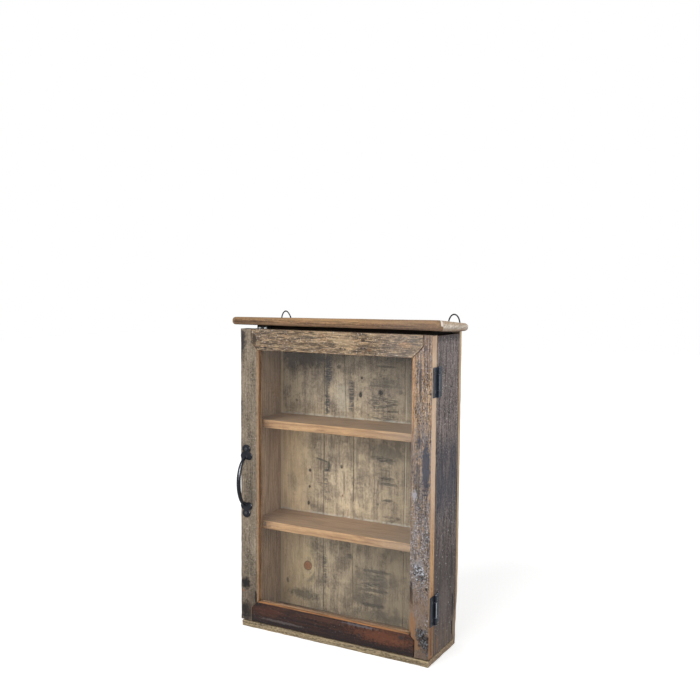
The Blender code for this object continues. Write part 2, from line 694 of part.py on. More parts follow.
def hanger(side, sign, plank, case_top):
    """Steel strap folded round the bar of a wire ring, screwed through a plank."""
    x = sign * (HALF - HANGER_INSET)
    pivot = Z_TOP_BOARD + HANGER_PIVOT_LEVEL
    hole = WIRE_RADIUS + EYE_PLAY
    eye = hole + STRAP_THICK
    y = GAP + eye
    half = STRAP_WIDTH / 2
    outline = arc((y, pivot), eye, 270, 540, EYE_STEPS)
    outline += [(GAP, pivot - STRAP_LENGTH), (GAP + STRAP_THICK, pivot - STRAP_LENGTH),
                (GAP + STRAP_THICK, pivot - eye)]
    strap = add_object("hanger_strap_" + side, prism_mesh(outline, "X", x - half, x + half),
                       "black_iron", (x, y, pivot), smooth=True)
    round_hole = arc((y, pivot), hole, 0, 360, EYE_HOLE_SIDES)[:-1]
    bore = tool("hanger_eye_" + side, prism_mesh(round_hole, "X", x - half - GAP, x + half + GAP))
    combine(strap, bore, "DIFFERENCE")
    add_object("hanger_ring_" + side, ring_mesh((x, y, pivot)), "black_iron", (x, y, pivot),
               smooth=True)
    screw("hanger_screw_" + side, HANGER_SCREW, (x, GAP + STRAP_THICK, pivot - STRAP_SCREW_DROP),
          (0, 1, 0), (strap, plank, case_top))


def build():
    clear_scene()
    make_materials()
    panels = side_panels()
    bottom_board()
    case_top = carcass_top()
    shelves()
    top_board()
    planks = back_planks()

    door = empty("door_axis", (HINGE_X, HINGE_Y, Z_DOOR_LOW))
    frame = door_frame(door)
    glazing(door)
    centres = {"upper": Z_DOOR_HIGH - HINGE_INSETS["upper"],
               "lower": Z_DOOR_LOW + HINGE_INSETS["lower"]}
    for which, centre in centres.items():
        hinge(which, centre, frame["stile_right"], panels["right"], door)
    pull_handle(frame, door)
    magnetic_catch(case_top, frame, door)
    hanger("left", -1, planks[0], case_top)
    hanger("right", 1, planks[-1], case_top)


build()
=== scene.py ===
"""Finish, light and camera for the wall showcase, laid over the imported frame."""
import json
import math
from dataclasses import dataclass
import bmesh
import bpy
from bpy.props import FloatProperty, FloatVectorProperty, PointerProperty
from mathutils import Matrix, Vector, kdtree, noise


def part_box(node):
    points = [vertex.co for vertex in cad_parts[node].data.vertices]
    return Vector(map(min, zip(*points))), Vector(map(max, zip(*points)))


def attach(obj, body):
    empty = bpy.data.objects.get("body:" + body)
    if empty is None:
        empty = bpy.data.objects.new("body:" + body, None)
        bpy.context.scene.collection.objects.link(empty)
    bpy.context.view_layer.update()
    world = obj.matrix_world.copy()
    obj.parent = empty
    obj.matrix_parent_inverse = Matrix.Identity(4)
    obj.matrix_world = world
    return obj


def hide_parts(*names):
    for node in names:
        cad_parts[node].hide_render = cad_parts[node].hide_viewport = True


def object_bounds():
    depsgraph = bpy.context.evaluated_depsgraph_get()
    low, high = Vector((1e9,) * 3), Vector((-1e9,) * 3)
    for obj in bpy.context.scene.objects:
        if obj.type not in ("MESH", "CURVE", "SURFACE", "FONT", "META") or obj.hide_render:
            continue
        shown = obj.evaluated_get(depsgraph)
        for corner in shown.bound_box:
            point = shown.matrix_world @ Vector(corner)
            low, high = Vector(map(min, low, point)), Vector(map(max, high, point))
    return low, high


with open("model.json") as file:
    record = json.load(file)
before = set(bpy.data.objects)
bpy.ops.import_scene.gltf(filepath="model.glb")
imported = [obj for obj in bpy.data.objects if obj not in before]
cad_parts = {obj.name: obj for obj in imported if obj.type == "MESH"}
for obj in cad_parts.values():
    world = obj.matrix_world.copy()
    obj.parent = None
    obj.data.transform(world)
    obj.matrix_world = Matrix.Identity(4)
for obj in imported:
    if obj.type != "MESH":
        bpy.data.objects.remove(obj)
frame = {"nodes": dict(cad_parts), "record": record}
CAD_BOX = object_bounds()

bl_info = {
    "name": "Wall Showcase",
    "version": (1, 0, 0),
    "blender": (4, 5, 0),
    "location": "3D View > Sidebar > Showcase",
    "description": "Weathered boards, glass, iron and a plain studio for the wall showcase",
    "category": "Object",
}

MM = 0.001
GRAIN_AXES = {"x": 0, "y": 1, "z": 2}


def corners(node):
    """The low and high corners of a frame node, in millimetres."""
    return [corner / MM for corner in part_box(node)]


# Places on the frame, in millimetres
SIDE_LOW, SIDE_HIGH = corners("side_panel_right")
STILE_LOW, STILE_HIGH = corners("door_stile_left")
TOP_LOW, TOP_HIGH = corners("top_board")
BOARD_EDGE = SIDE_HIGH.x                                   # outer face of the side panels
SIDE_FACE = SIDE_LOW.x                                     # their inner face
SIDE_TOP = SIDE_HIGH.z
DOOR_FACE = STILE_LOW.y
DOOR_TOP = STILE_HIGH.z
DOOR_FOOT = STILE_LOW.z
OPENING_LEFT = STILE_HIGH.x
OPENING_RIGHT = corners("door_stile_right")[0].x
OPENING_FOOT = corners("door_rail_bottom")[1].z
PLANK_TOP = corners("back_plank_1")[1].z
RING_LOW, RING_HIGH = corners("hanger_ring_left")
FLOOR_LEVEL = CAD_BOX[0].z / MM

# How age has shaped the boards, in millimetres
TOP_DROP = 3.6                                             # the top board has sunk this far at the wall
NOSE_SWELL = 2.0                                           # its nose is thicker, at the right threefold
NOSE_LIFT = 0.6                                            # its front right corner stands up
END_SWELL = 2.6                                            # its right end hangs lower
FOOT_WEAR_TOP = -150.0                                     # the rubbed rear edge starts at this height
FOOT_WEAR_RADIUS = 14.0                                    # and is this round at the floor
PLANK_END = 12.0                                           # length of the planks' end under the top
JOINT_ZONE = 4.0                                           # length of the top rail's ends that move out
CORNER_PLAY = 0.3                                          # by this much
CORNER_LIP = 0.6                                           # and at the door's face by this as well
CUTS_NEAR_ENDS = (1.2, 2.6, 4.5)                           # a board's slices near its ends

# How age and hands have shaped the iron, in millimetres
RING_PULL = 0.10                                           # the left ring's arch leans in by this share
RING_DROP = 1.6                                            # and sinks this far
LEAF_EASE = 0.12                                           # bevel on the edges of leaves and straps
WIRE_EASE = 0.05                                           # and of rings
KNUCKLE_STEP = 1.0                                         # of the grid that carries the painted highlight on the hinges' knuckles
IRON_REACH = 0.9                                           # width of the rub along an iron edge
SCREW_REACH = 0.4                                          # and along a screw's
CASTING_CELL = 0.5                                         # corners of the pull are melted over this far
LUMP = 3.2                                                 # length of the waves in its skin
FINE_LUMP = 1.1
PLATE_DEPTH = 4.0                                          # its plates stand this proud
PLATE_HIGHLIGHT_FACING = Vector((0.80, -0.50, 0.33))                  # the way that their rims face to take a painted highlight and the side of the bow with a painted highlight, which also stands for polish from hands and the side of a hinge's knuckle with a painted highlight
BOW_HIGHLIGHT_FACING = Vector((0.47, -0.81, 0.35))                    # and the side of the bow that hands polish
KNUCKLE_HIGHLIGHT_FACING = Vector((0.78, -0.62, 0.0))                 # and the rubbed side of a hinge's knuckle

EASED_ANGLE = 40                                           # edges sharper than this, in degrees, are eased
ARRIS_ANGLE = 25                                           # and those sharper than this are rubbed

# The screws
SCREW_SIDES = 32
CROWN_STEPS = 6                                            # from the middle of the dome to its rim
SLOT_SIZE = (2.6, 0.3, 0.62)                               # of the slot's cutter, in radii of the rim
SLOT_DROP = 0.05                                           # of its middle below the dome's, in radii too
FIRST_TURN = 20                                            # of the first slot, in degrees
NEXT_TURN = 47                                             # from one screw's slot to the next one's

# The hinges: how blued, how glossy, and how far the door leaf, the case leaf and the pin are rubbed at
# their edges, which also sets the strength of the painted highlight on their knuckles
HINGE_FINISHES = {
    "upper": ((1.6, 1.75, 1.9), 0.25, (0.25, 0.25, 0.25)),
    "lower": ((1.3, 1.32, 1.4), 0.10, (0.1, 0.7, 0.7)),
}

# The stage, in millimetres
FLOOR_GAP = 0.3                                            # the floor lies this far under the case
SENSOR_WIDTH = 36.0

# Sizes of the patterns in wood, in millimetres: twice across the grain, then along it
FIBRE = (1.2, 1.2, 42)
STREAK = (3.6, 3.6, 75)
BROAD = (17, 17, 55)
SPECKLE = (2.6, 2.6, 4.6)
HEART_DRIFT = (28, 28, 150)
SEED_SHIFT = (37.7, 51.3, 213.1)                           # from one board's pattern to the next one's
WEAR_SHIFT = (7.3, 3.1, 5.7)                               # and from its wear

# Sizes of the ragged rims of marks, and of the dashes in torn ones, along x, y and z in millimetres
RAGGED = (6, 6, 6)
TORN = (13, 13, 2.4)

# Lengths of the waves of wear, in millimetres, and how strongly they rub an arris
FACE_WAVE = 55
RUB_WAVE = 17
RUB_SHARE = 0.65
NICK_WAVE = 4
NICK_SHARE = 0.35
GROOVE_LENGTH = 70
GROOVE_WIDTH = 2.6
RUB_FALL = 1.5                                             # how fast the rub fades away from the arris
FACE_NORMAL = 0.97                                         # a normal's largest part on a flat face


# ---------------------------------------------------------------- shader expressions

class Flow:
    """A socket of a node tree. Arithmetic on it adds Math nodes."""

    def __init__(self, graph, socket):
        self.graph = graph
        self.socket = socket

    def math(self, operation, *values):
        return self.graph.node("ShaderNodeMath", {"operation": operation}, dict(enumerate(values)))

    def __add__(self, other):
        return self.math("ADD", self, other)

    __radd__ = __add__

    def __mul__(self, other):
        return self.math("MULTIPLY", self, other)

    __rmul__ = __mul__

    def __sub__(self, other):
        return self.math("SUBTRACT", self, other)

    def __rsub__(self, other):
        return self.math("SUBTRACT", other, self)

    def __truediv__(self, other):
        return self.math("DIVIDE", self, other)

    def __pow__(self, other):
        return self.math("POWER", self, other)

    def __abs__(self):
        return self.math("ABSOLUTE", self)

    def sine(self):
        return self.math("SINE", self)

    def root(self):
        return self.math("SQRT", self)

    def most(self, other):
        return self.math("MAXIMUM", self, other)

    def least(self, other):
        return self.math("MINIMUM", self, other)

    def rise(self, low, high):
        """0 up to low and 1 from high, with a soft step between; high below low falls instead."""
        if high < low:
            return 1 - self.rise(high, low)
        return self.graph.node(
            "ShaderNodeMapRange", {"interpolation_type": "SMOOTHSTEP"},
            {"Value": self, "From Min": low, "From Max": high})


class Graph:
    """The nodes of one material or world."""

    def __init__(self, owner):
        owner.use_nodes = True
        self.tree = owner.node_tree
        self.tree.nodes.clear()

    def node(self, kind, settings=None, inputs=None, output=0):
        """Adds a node, makes its settings, then fills its sockets with values or links."""
        made = self.tree.nodes.new(kind)
        for name, value in (settings or {}).items():
            if name == "stops":
                self.fill_ramp(made.color_ramp, value)
            else:
                setattr(made, name, value)
        for name, value in (inputs or {}).items():
            if isinstance(value, Flow):
                self.tree.links.new(value.socket, made.inputs[name])
            else:
                made.inputs[name].default_value = value
        return Flow(self, made.outputs[output]) if made.outputs else made

    @staticmethod
    def fill_ramp(ramp, stops):
        while len(ramp.elements) < len(stops):
            ramp.elements.new(1.0)
        for element, (place, colour) in zip(ramp.elements, stops):
            element.position = place
            element.color = (*colour, 1.0)

    def mix(self, share, first, second, blend="MIX"):
        """Two colours mixed, the second by its share."""
        return self.node("ShaderNodeMix", {"data_type": "RGBA", "blend_type": blend},
                         {0: share, 6: full(first), 7: full(second)}, output=2)

    def stretch(self, vector, sizes):
        """The vector in units of these sizes."""
        return self.node("ShaderNodeVectorMath", {"operation": "DIVIDE"}, {0: vector, 1: sizes})

    def shift(self, vector, offset):
        return self.node("ShaderNodeVectorMath", {"operation": "ADD"}, {0: vector, 1: offset})

    def cloud(self, vector, sizes, detail=2.0, roughness=0.5, distortion=0.0):
        """Noise from 0 to 1 whose lumps have these sizes."""
        return self.node("ShaderNodeTexNoise", None,
                         {"Vector": self.stretch(vector, sizes), "Scale": 1.0, "Detail": detail,
                          "Roughness": roughness, "Distortion": distortion})

    def place(self):
        """The point on the piece at rest, in millimetres, and its x, y and z."""
        metres = self.node("ShaderNodeTexCoord", output=3)
        point = self.node("ShaderNodeVectorMath", {"operation": "SCALE"}, {0: metres, "Scale": 1 / MM})
        parts = [self.node("ShaderNodeSeparateXYZ", None, {0: point}, output=k) for k in range(3)]
        return point, parts

    def bump(self, height, strength):
        """A normal from a height in millimetres."""
        return self.node("ShaderNodeBump", None,
                         {"Height": height, "Distance": MM, "Strength": strength})

    def surface(self, shader):
        self.node("ShaderNodeOutputMaterial", None, {"Surface": shader})

    def principled(self, sockets):
        self.surface(self.node("ShaderNodeBsdfPrincipled", None, sockets))


def clamp(value, top=1.0):
    return min(top, max(0.0, value))


def full(colour):
    """A colour with its fourth number, where it is a plain tuple."""
    return (*colour, 1.0) if isinstance(colour, tuple) and len(colour) == 3 else colour


def shade(red, green, blue):
    """A colour as a screen shows it, 0 to 255, as the light that the shader works in."""
    return tuple(c / 255 / 12.92 if c <= 10 else ((c / 255 + 0.055) / 1.055) ** 2.4
                 for c in (red, green, blue))


# ---------------------------------------------------------------- timber

@dataclass
class Timber:
    """The colours of a kind of board and how strongly each trace of age shows, from 0 to 1."""
    light: tuple
    dark: tuple
    arris: tuple = shade(196, 152, 108)
    weather: tuple = shade(108, 110, 118)
    deep: tuple = shade(46, 40, 38)
    pale: tuple = shade(200, 196, 190)
    ring_pitch: float = 6.0
    rings: float = 0.5
    fibre: float = 0.5
    streak: float = 0.5
    blotch: float = 0.5
    mottle: float = 0.3
    greying: float = 0.0
    cracks: float = 0.0
    pits: float = 0.0
    flecks: float = 0.0
    scratches: float = 0.0
    worn_arris: float = 0.6
    roughness: float = 0.7
    gloss: float = 0.12
    relief: float = 0.3


@dataclass
class Mark:
    """A knot, stain or saw mark on a board's face: centre and half sizes in millimetres."""
    u: float
    w: float
    half_width: float
    half_height: float
    colour: tuple
    strength: float
    ragged: float = 0.5
    slant: float = 0.0
    torn: bool = False
    soft: float = 0.75


class Board:
    """The pattern of one board, built up in layers of colour and height."""

    def __init__(self, name, timber, grain, seed):
        self.material = bpy.data.materials.new(name)
        self.graph = Graph(self.material)
        self.timber = timber
        g = self.graph
        self.point, (self.x, self.y, self.z) = g.place()
        along = GRAIN_AXES[grain]
        order = [(along + 1) % 3, (along + 2) % 3, along]
        parts = (self.x, self.y, self.z)
        turned = g.node("ShaderNodeCombineXYZ", None, {k: parts[axis] for k, axis in enumerate(order)})
        self.wood = g.shift(turned, tuple(seed * shift for shift in SEED_SHIFT))
        self.seed = seed
        self.fibres = g.cloud(self.wood, FIBRE, 3.0, 0.65)
        self.streaks = g.cloud(self.wood, STREAK, 3.0, 0.6)
        self.broad = g.cloud(self.wood, BROAD, 3.0, 0.6, 0.3)
        self.speckle = g.cloud(self.wood, SPECKLE, 4.0, 0.75)
        self.ragged = g.cloud(self.point, RAGGED, 4.0, 0.65) - 0.5
        self.torn = g.cloud(self.point, TORN, 3.0, 0.6)
        self.front = 1.0                                   # a mask, or 1, of where marks and lines show
        self.base()

    def base(self):
        """Growth rings, fibres, streaks, mottling and broad changes of tone."""
        g, t = self.graph, self.timber
        drift = g.cloud(self.wood, HEART_DRIFT, 2.0)
        a = g.node("ShaderNodeSeparateXYZ", None, {0: self.wood}, output=0)
        b = g.node("ShaderNodeSeparateXYZ", None, {0: self.wood}, output=1)
        heart_side = 8.0 * math.sin(self.seed * 1.7)
        heart_depth = 34.0 + 11.0 * math.sin(self.seed * 2.4)
        across = a - (self.seed * SEED_SHIFT[0] + heart_side) + (drift - 0.5) * 30
        deep = b - (self.seed * SEED_SHIFT[1]) + heart_depth + (self.broad - 0.5) * 12
        radius = (across * across + deep * deep).root()
        turn = (radius + (self.fibres - 0.5) * 1.6) * (2 * math.pi / t.ring_pitch)
        self.late = (turn.sine() * 0.5 + 0.5) ** 3
        tone = ((self.late - 0.3) * (t.rings * 0.6) + (0.5 - self.fibres) * (t.fibre * 1.6)
                + (0.5 - self.streaks) * (t.streak * 2.6) + (0.5 - self.broad) * (t.blotch * 2.6)
                + (0.5 - self.speckle) * (t.mottle * 2.6) + 0.5)
        self.tone = tone.rise(0.0, 1.0)
        self.colour = g.mix(self.tone, t.light, t.dark)
        self.height = ((self.fibres - 0.5) * (t.fibre * t.relief)
                       + (self.speckle - 0.5) * (t.mottle * 0.25)
                       - self.late * (0.3 * t.relief * t.rings))

    def layer(self, mask, colour, depth=0.0):
        """Lays a colour over the board where the mask is 1, sunk by a depth in millimetres."""
        self.colour = self.graph.mix(mask, self.colour, colour)
        if depth:
            self.height = self.height - mask * depth

    def fade(self, along, start, end, share, colour):
        """Lays a colour that comes in from start to end of a socket's values, up to its share."""
        self.layer(along.rise(start, end) * share, colour)

    def retone(self, mask, light, dark):
        """The same figure in other colours where the mask is 1."""
        self.colour = self.graph.mix(mask, self.colour, self.graph.mix(self.tone, light, dark))

    def age(self):
        """Grey weathering, cracks, flecks, pits and scratches, as strong as the timber says."""
        g, t = self.graph, self.timber
        if t.greying:
            mask = g.cloud(self.wood, (6, 6, 30), 4.0, 0.7) * 0.75 + self.speckle * 0.25
            self.layer(mask.rise(0.58 - 0.20 * t.greying, 0.66 - 0.14 * t.greying) * t.greying,
                       t.weather, 0.08)
        if t.cracks:
            vein = abs(g.cloud(self.wood, (3.4, 3.4, 80), 2.0, 0.5, 0.2) - 0.5).rise(0.035, 0.008)
            here = self.broad.rise(0.56 - 0.2 * t.cracks, 0.60)
            self.layer(vein * here * t.cracks, t.deep, 0.5)
        if t.flecks:
            mask = g.cloud(self.point, (1.9, 1.9, 2.4), 2.0, 0.6).rise(0.63 - 0.04 * t.flecks, 0.70)
            self.layer(mask * self.ragged.rise(-0.12, 0.06) * t.flecks, t.pale)
        if t.pits:
            mask = g.cloud(self.wood, (2.1, 2.1, 4.4), 2.0, 0.6).rise(0.40 + 0.04 * t.pits, 0.33)
            self.layer(mask * t.pits, t.deep, 0.3)
        if t.scratches:
            mask = g.cloud(self.wood, (16, 16, 1.1), 3.0).rise(0.52, 0.68)
            self.layer(mask * (t.scratches * 0.5), t.deep, 0.06)

    def reach_of(self, u, mark):
        """1 within a Mark, whose u runs along the given socket and whose w is the height."""
        side = (u - mark.u) / mark.half_width
        rise = (self.z - mark.w - (u - mark.u) * mark.slant) / mark.half_height
        reach = (side * side + rise * rise).root() + self.ragged * (3.0 * mark.ragged)
        mask = reach.rise(0.85 + mark.soft / 2, 0.85 - mark.soft / 2) * mark.strength
        if mark.torn:
            mask = mask * self.torn.rise(0.42, 0.54)
        return mask * self.front

    def marks(self, u, marks):
        for mark in marks:
            self.layer(self.reach_of(u, mark), mark.colour)

    def crusts(self, u, pale, marks):
        """Old paint that holds on in dark and pale specks inside each Mark."""
        g = self.graph
        for mark in marks:
            specks = g.cloud(self.point, (2.7, 2.7, 3.4), 3.0, 0.7)
            tone = g.mix(specks.rise(0.52, 0.60), mark.colour, pale)
            self.layer(self.reach_of(u, mark) * abs(specks - 0.47).rise(0.01, 0.04), tone, 0.2)

    def line(self, u, start, end, width, colour, strength, wander=1.0):
        """A crack or joint line between two (u, w) points, in millimetres."""
        slope = (end[0] - start[0]) / (end[1] - start[1])
        drift = (self.graph.cloud(self.point, (4, 4, 14), 2.0) - 0.5) * (2.5 * wander)
        off = abs(u - start[0] - (self.z - start[1]) * slope + drift)
        low, high = sorted((start[1], end[1]))
        ends = self.z.rise(low - 2, low + 2) * self.z.rise(high + 2, high - 2)
        self.layer(off.rise(width, width * 0.4) * ends * strength * self.front, colour, 0.25)

    def round_knot(self, u, w, radius):
        """A reddish knot with a dark rim, in pale grain that runs round it."""
        g = self.graph
        side = (self.x - u) / radius
        rise = (self.z - w) / radius
        reach = (side * side + rise * rise).root() + self.ragged * 0.5
        halo = ((side * side) * 0.5 + rise * rise * 0.16).root() + self.ragged * 1.1
        swirl = ((halo * 7.5).sine() * 0.5 + 0.5) * halo.rise(2.6, 0.9)
        self.layer(swirl * 0.75, shade(220, 194, 150))
        self.layer(reach.rise(1.3, 1.0) * 0.8, shade(92, 64, 50))
        rings = ((reach * 14.0).sine() * 0.5 + 0.5) * 0.5
        heart = g.mix(rings, shade(176, 122, 86), shade(128, 82, 58))
        self.colour = g.mix(reach.rise(1.05, 0.85), self.colour, heart)

    def finish(self):
        """Bare arrises, then the shader itself."""
        g, t = self.graph, self.timber
        edge = g.node("ShaderNodeAttribute", {"attribute_name": "arris"}, output=2)
        worn = edge + (self.streaks - 0.5) * 1.2 + (self.speckle - 0.5) * 0.9
        self.colour = g.mix(worn.rise(0.68, 0.98) * t.worn_arris, self.colour, t.arris)
        rough = (self.fibres - 0.5) * 0.25 + (self.broad - 0.5) * 0.2 + t.roughness
        g.principled({"Base Color": self.colour, "Roughness": rough, "Specular IOR Level": t.gloss,
                      "Normal": g.bump(self.height, 0.7)})
        return self.material


# ---------------------------------------------------------------- board meshes

def welded(node):
    """A copy of a frame node's mesh with its corners welded and its flat faces whole."""
    bm = bmesh.new()
    bm.from_mesh(frame["nodes"][node].data)
    bmesh.ops.remove_doubles(bm, verts=bm.verts[:], dist=1e-6)
    bmesh.ops.dissolve_limit(bm, angle_limit=math.radians(1), verts=bm.verts[:], edges=bm.edges[:])
    return bm


def slice_places(low, high, step):
    """Even places between two ends, with a few more near each end."""
    *outer, last = (cut * MM for cut in CUTS_NEAR_ENDS)
    inner = high - low - 2 * last
    if inner <= step:
        return [low + (high - low) * k / 4 for k in (1, 2, 3)]
    count = max(1, round(inner / step))
    middle = [low + last + inner * k / count for k in range(count + 1)]
    return [low + d for d in outer] + middle + [high - d for d in reversed(outer)]


def slice_mesh(bm, axis, places):
    """Cuts the faces at these places along an axis, from low to high."""
    normal = Vector([float(k == axis) for k in range(3)])
    faces = bm.faces[:]
    for place in places:
        edges = {edge for face in faces for edge in face.edges}
        verts = {vert for face in faces for vert in face.verts}
        cut = bmesh.ops.bisect_plane(bm, geom=[*verts, *edges, *faces], dist=1e-7,
                                     plane_co=normal * place, plane_no=normal)
        faces = [part for part in cut["geom"] if isinstance(part, bmesh.types.BMFace)
                 and max(vert.co[axis] for vert in part.verts) > place + 1e-6]


def distances_to(verts, bm):
    """For each vertex of the mesh, how far it is from the nearest of the given ones."""
    tree = kdtree.KDTree(len(verts))
    for index, vert in enumerate(verts):
        tree.insert(vert.co, index)
    tree.balance()
    return [tree.find(vert.co)[2] for vert in bm.verts]


@dataclass
class Wear:
    """How far a board's surface has worn back, in millimetres."""
    sag: float
    grooves: float
    arris: float
    reach: float


def wear_down(bm, wear, grain, seed):
    """Moves each vertex in, for waves, open grain and rubbed arrises, and stores the arris mask."""
    bm.normal_update()
    layer = bm.verts.layers.float.new("arris")
    rims = [vert for vert in bm.verts if max(map(abs, vert.normal)) < FACE_NORMAL]
    distances = distances_to(rims, bm)
    along = GRAIN_AXES[grain]
    stretch = Vector([1 / (GROOVE_LENGTH if axis == along else GROOVE_WIDTH) for axis in range(3)]) / MM
    offset = Vector([seed * shift for shift in WEAR_SHIFT])
    moves = []
    for vert, distance in zip(bm.verts, distances):
        near = max(0.0, 1 - distance / MM / wear.reach)
        wave = 0.5 + 0.5 * noise.noise(vert.co / (FACE_WAVE * MM) + offset)
        fine = Vector(a * b for a, b in zip(vert.co, stretch))
        groove = max(0.0, noise.noise(fine + offset))
        rub = 0.55 + RUB_SHARE * noise.noise(vert.co / (RUB_WAVE * MM) + offset)
        rub += NICK_SHARE * noise.noise(vert.co / (NICK_WAVE * MM) - offset)
        rub = max(0.0, rub) * near ** RUB_FALL
        depth = wear.sag * wave + wear.grooves * groove + wear.arris * rub
        vert[layer] = near
        moves.append(vert.normal * (-depth * MM))
    for vert, move in zip(bm.verts, moves):
        vert.co += move


def add_piece(name, bm, material, node, sharp=35.0):
    """Makes a piece that stands for a frame node and rides on its body."""
    mesh = bpy.data.meshes.new(name)
    bm.to_mesh(mesh)
    bm.free()
    mesh.shade_smooth()
    mesh.set_sharp_from_angle(angle=math.radians(sharp))
    mesh.materials.append(material)
    piece = link(name, mesh)
    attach(piece, body_of(node))
    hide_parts(node)
    slot_of(node)


def link(name, data):
    """A new object of the scene that holds this mesh, light or camera."""
    piece = bpy.data.objects.new(name, data)
    bpy.context.scene.collection.objects.link(piece)
    return piece


def body_of(node):
    bodies = frame["record"]["behaviour"]["bodies"]
    return next(body for body, members in bodies.items() if node in members)


def slot_of(node):
    return next(row["material_slot"] for row in frame["record"]["subparts"] if row["node"] == node)


def shape(bm, shaping):
    """Moves each vertex to where the shaping function puts it, where there is one."""
    if shaping:
        for vert in bm.verts:
            vert.co = shaping(vert.co)


def settle_back(point):
    """Lets a point of the case's top sink towards the wall."""
    back = (point.y / MM - TOP_LOW.y) / (TOP_HIGH.y - TOP_LOW.y)
    return Vector((point.x, point.y, point.z - TOP_DROP * MM * back))


def shape_top(point):
    """Sinks the top board at the wall, thickens its nose and lets its right end hang full and round."""
    front = (TOP_HIGH.y - point.y / MM) / (TOP_HIGH.y - TOP_LOW.y)
    right = (point.x / MM - TOP_LOW.x) / (TOP_HIGH.x - TOP_LOW.x)
    up = (point.z / MM - TOP_LOW.z) / (TOP_HIGH.z - TOP_LOW.z)
    end = clamp((point.x / MM - SIDE_FACE) / (TOP_HIGH.x - SIDE_FACE))
    swell = (NOSE_SWELL * (1 + 2 * right) * up + NOSE_LIFT * right) * front
    belly = END_SWELL * end * math.sin(math.pi * front) * (1 - up)
    return settle_back(point) + Vector((0, 0, (swell - belly) * MM))


def shape_plank(point):
    """Rounds the plank's foot and lowers its top end, which stays under the settled top board."""
    share = clamp((point.z / MM - PLANK_TOP + PLANK_END) / PLANK_END)
    return round_foot(point) - Vector((0, 0, TOP_DROP * MM * share))


def round_foot(point):
    """Rubs the rear right edge round, more and more towards the floor."""
    share = clamp((FOOT_WEAR_TOP - point.z / MM) / (FOOT_WEAR_TOP - FLOOR_LEVEL))
    radius = FOOT_WEAR_RADIUS * share ** 1.3 * MM
    centre = Vector((BOARD_EDGE * MM - radius, -radius))
    out = Vector((point.x, point.y)) - centre
    if min(out) <= 0 or out.length <= radius:
        return point
    x, y = centre + out.normalized() * radius
    return Vector((x, y, point.z))


def close_joint(point):
    """Moves the ends of the door's top rail out to the stiles, most at the face."""
    side = math.copysign(1.0, point.x)
    share = clamp((abs(point.x) / MM - OPENING_RIGHT + JOINT_ZONE / 2) / JOINT_ZONE)
    face = clamp((DOOR_FACE + 0.7 - point.y / MM) / 0.6)
    return point + Vector((side * share * (CORNER_PLAY + CORNER_LIP * face) * MM, 0, 0))


# ---------------------------------------------------------------- the showcase's own boards

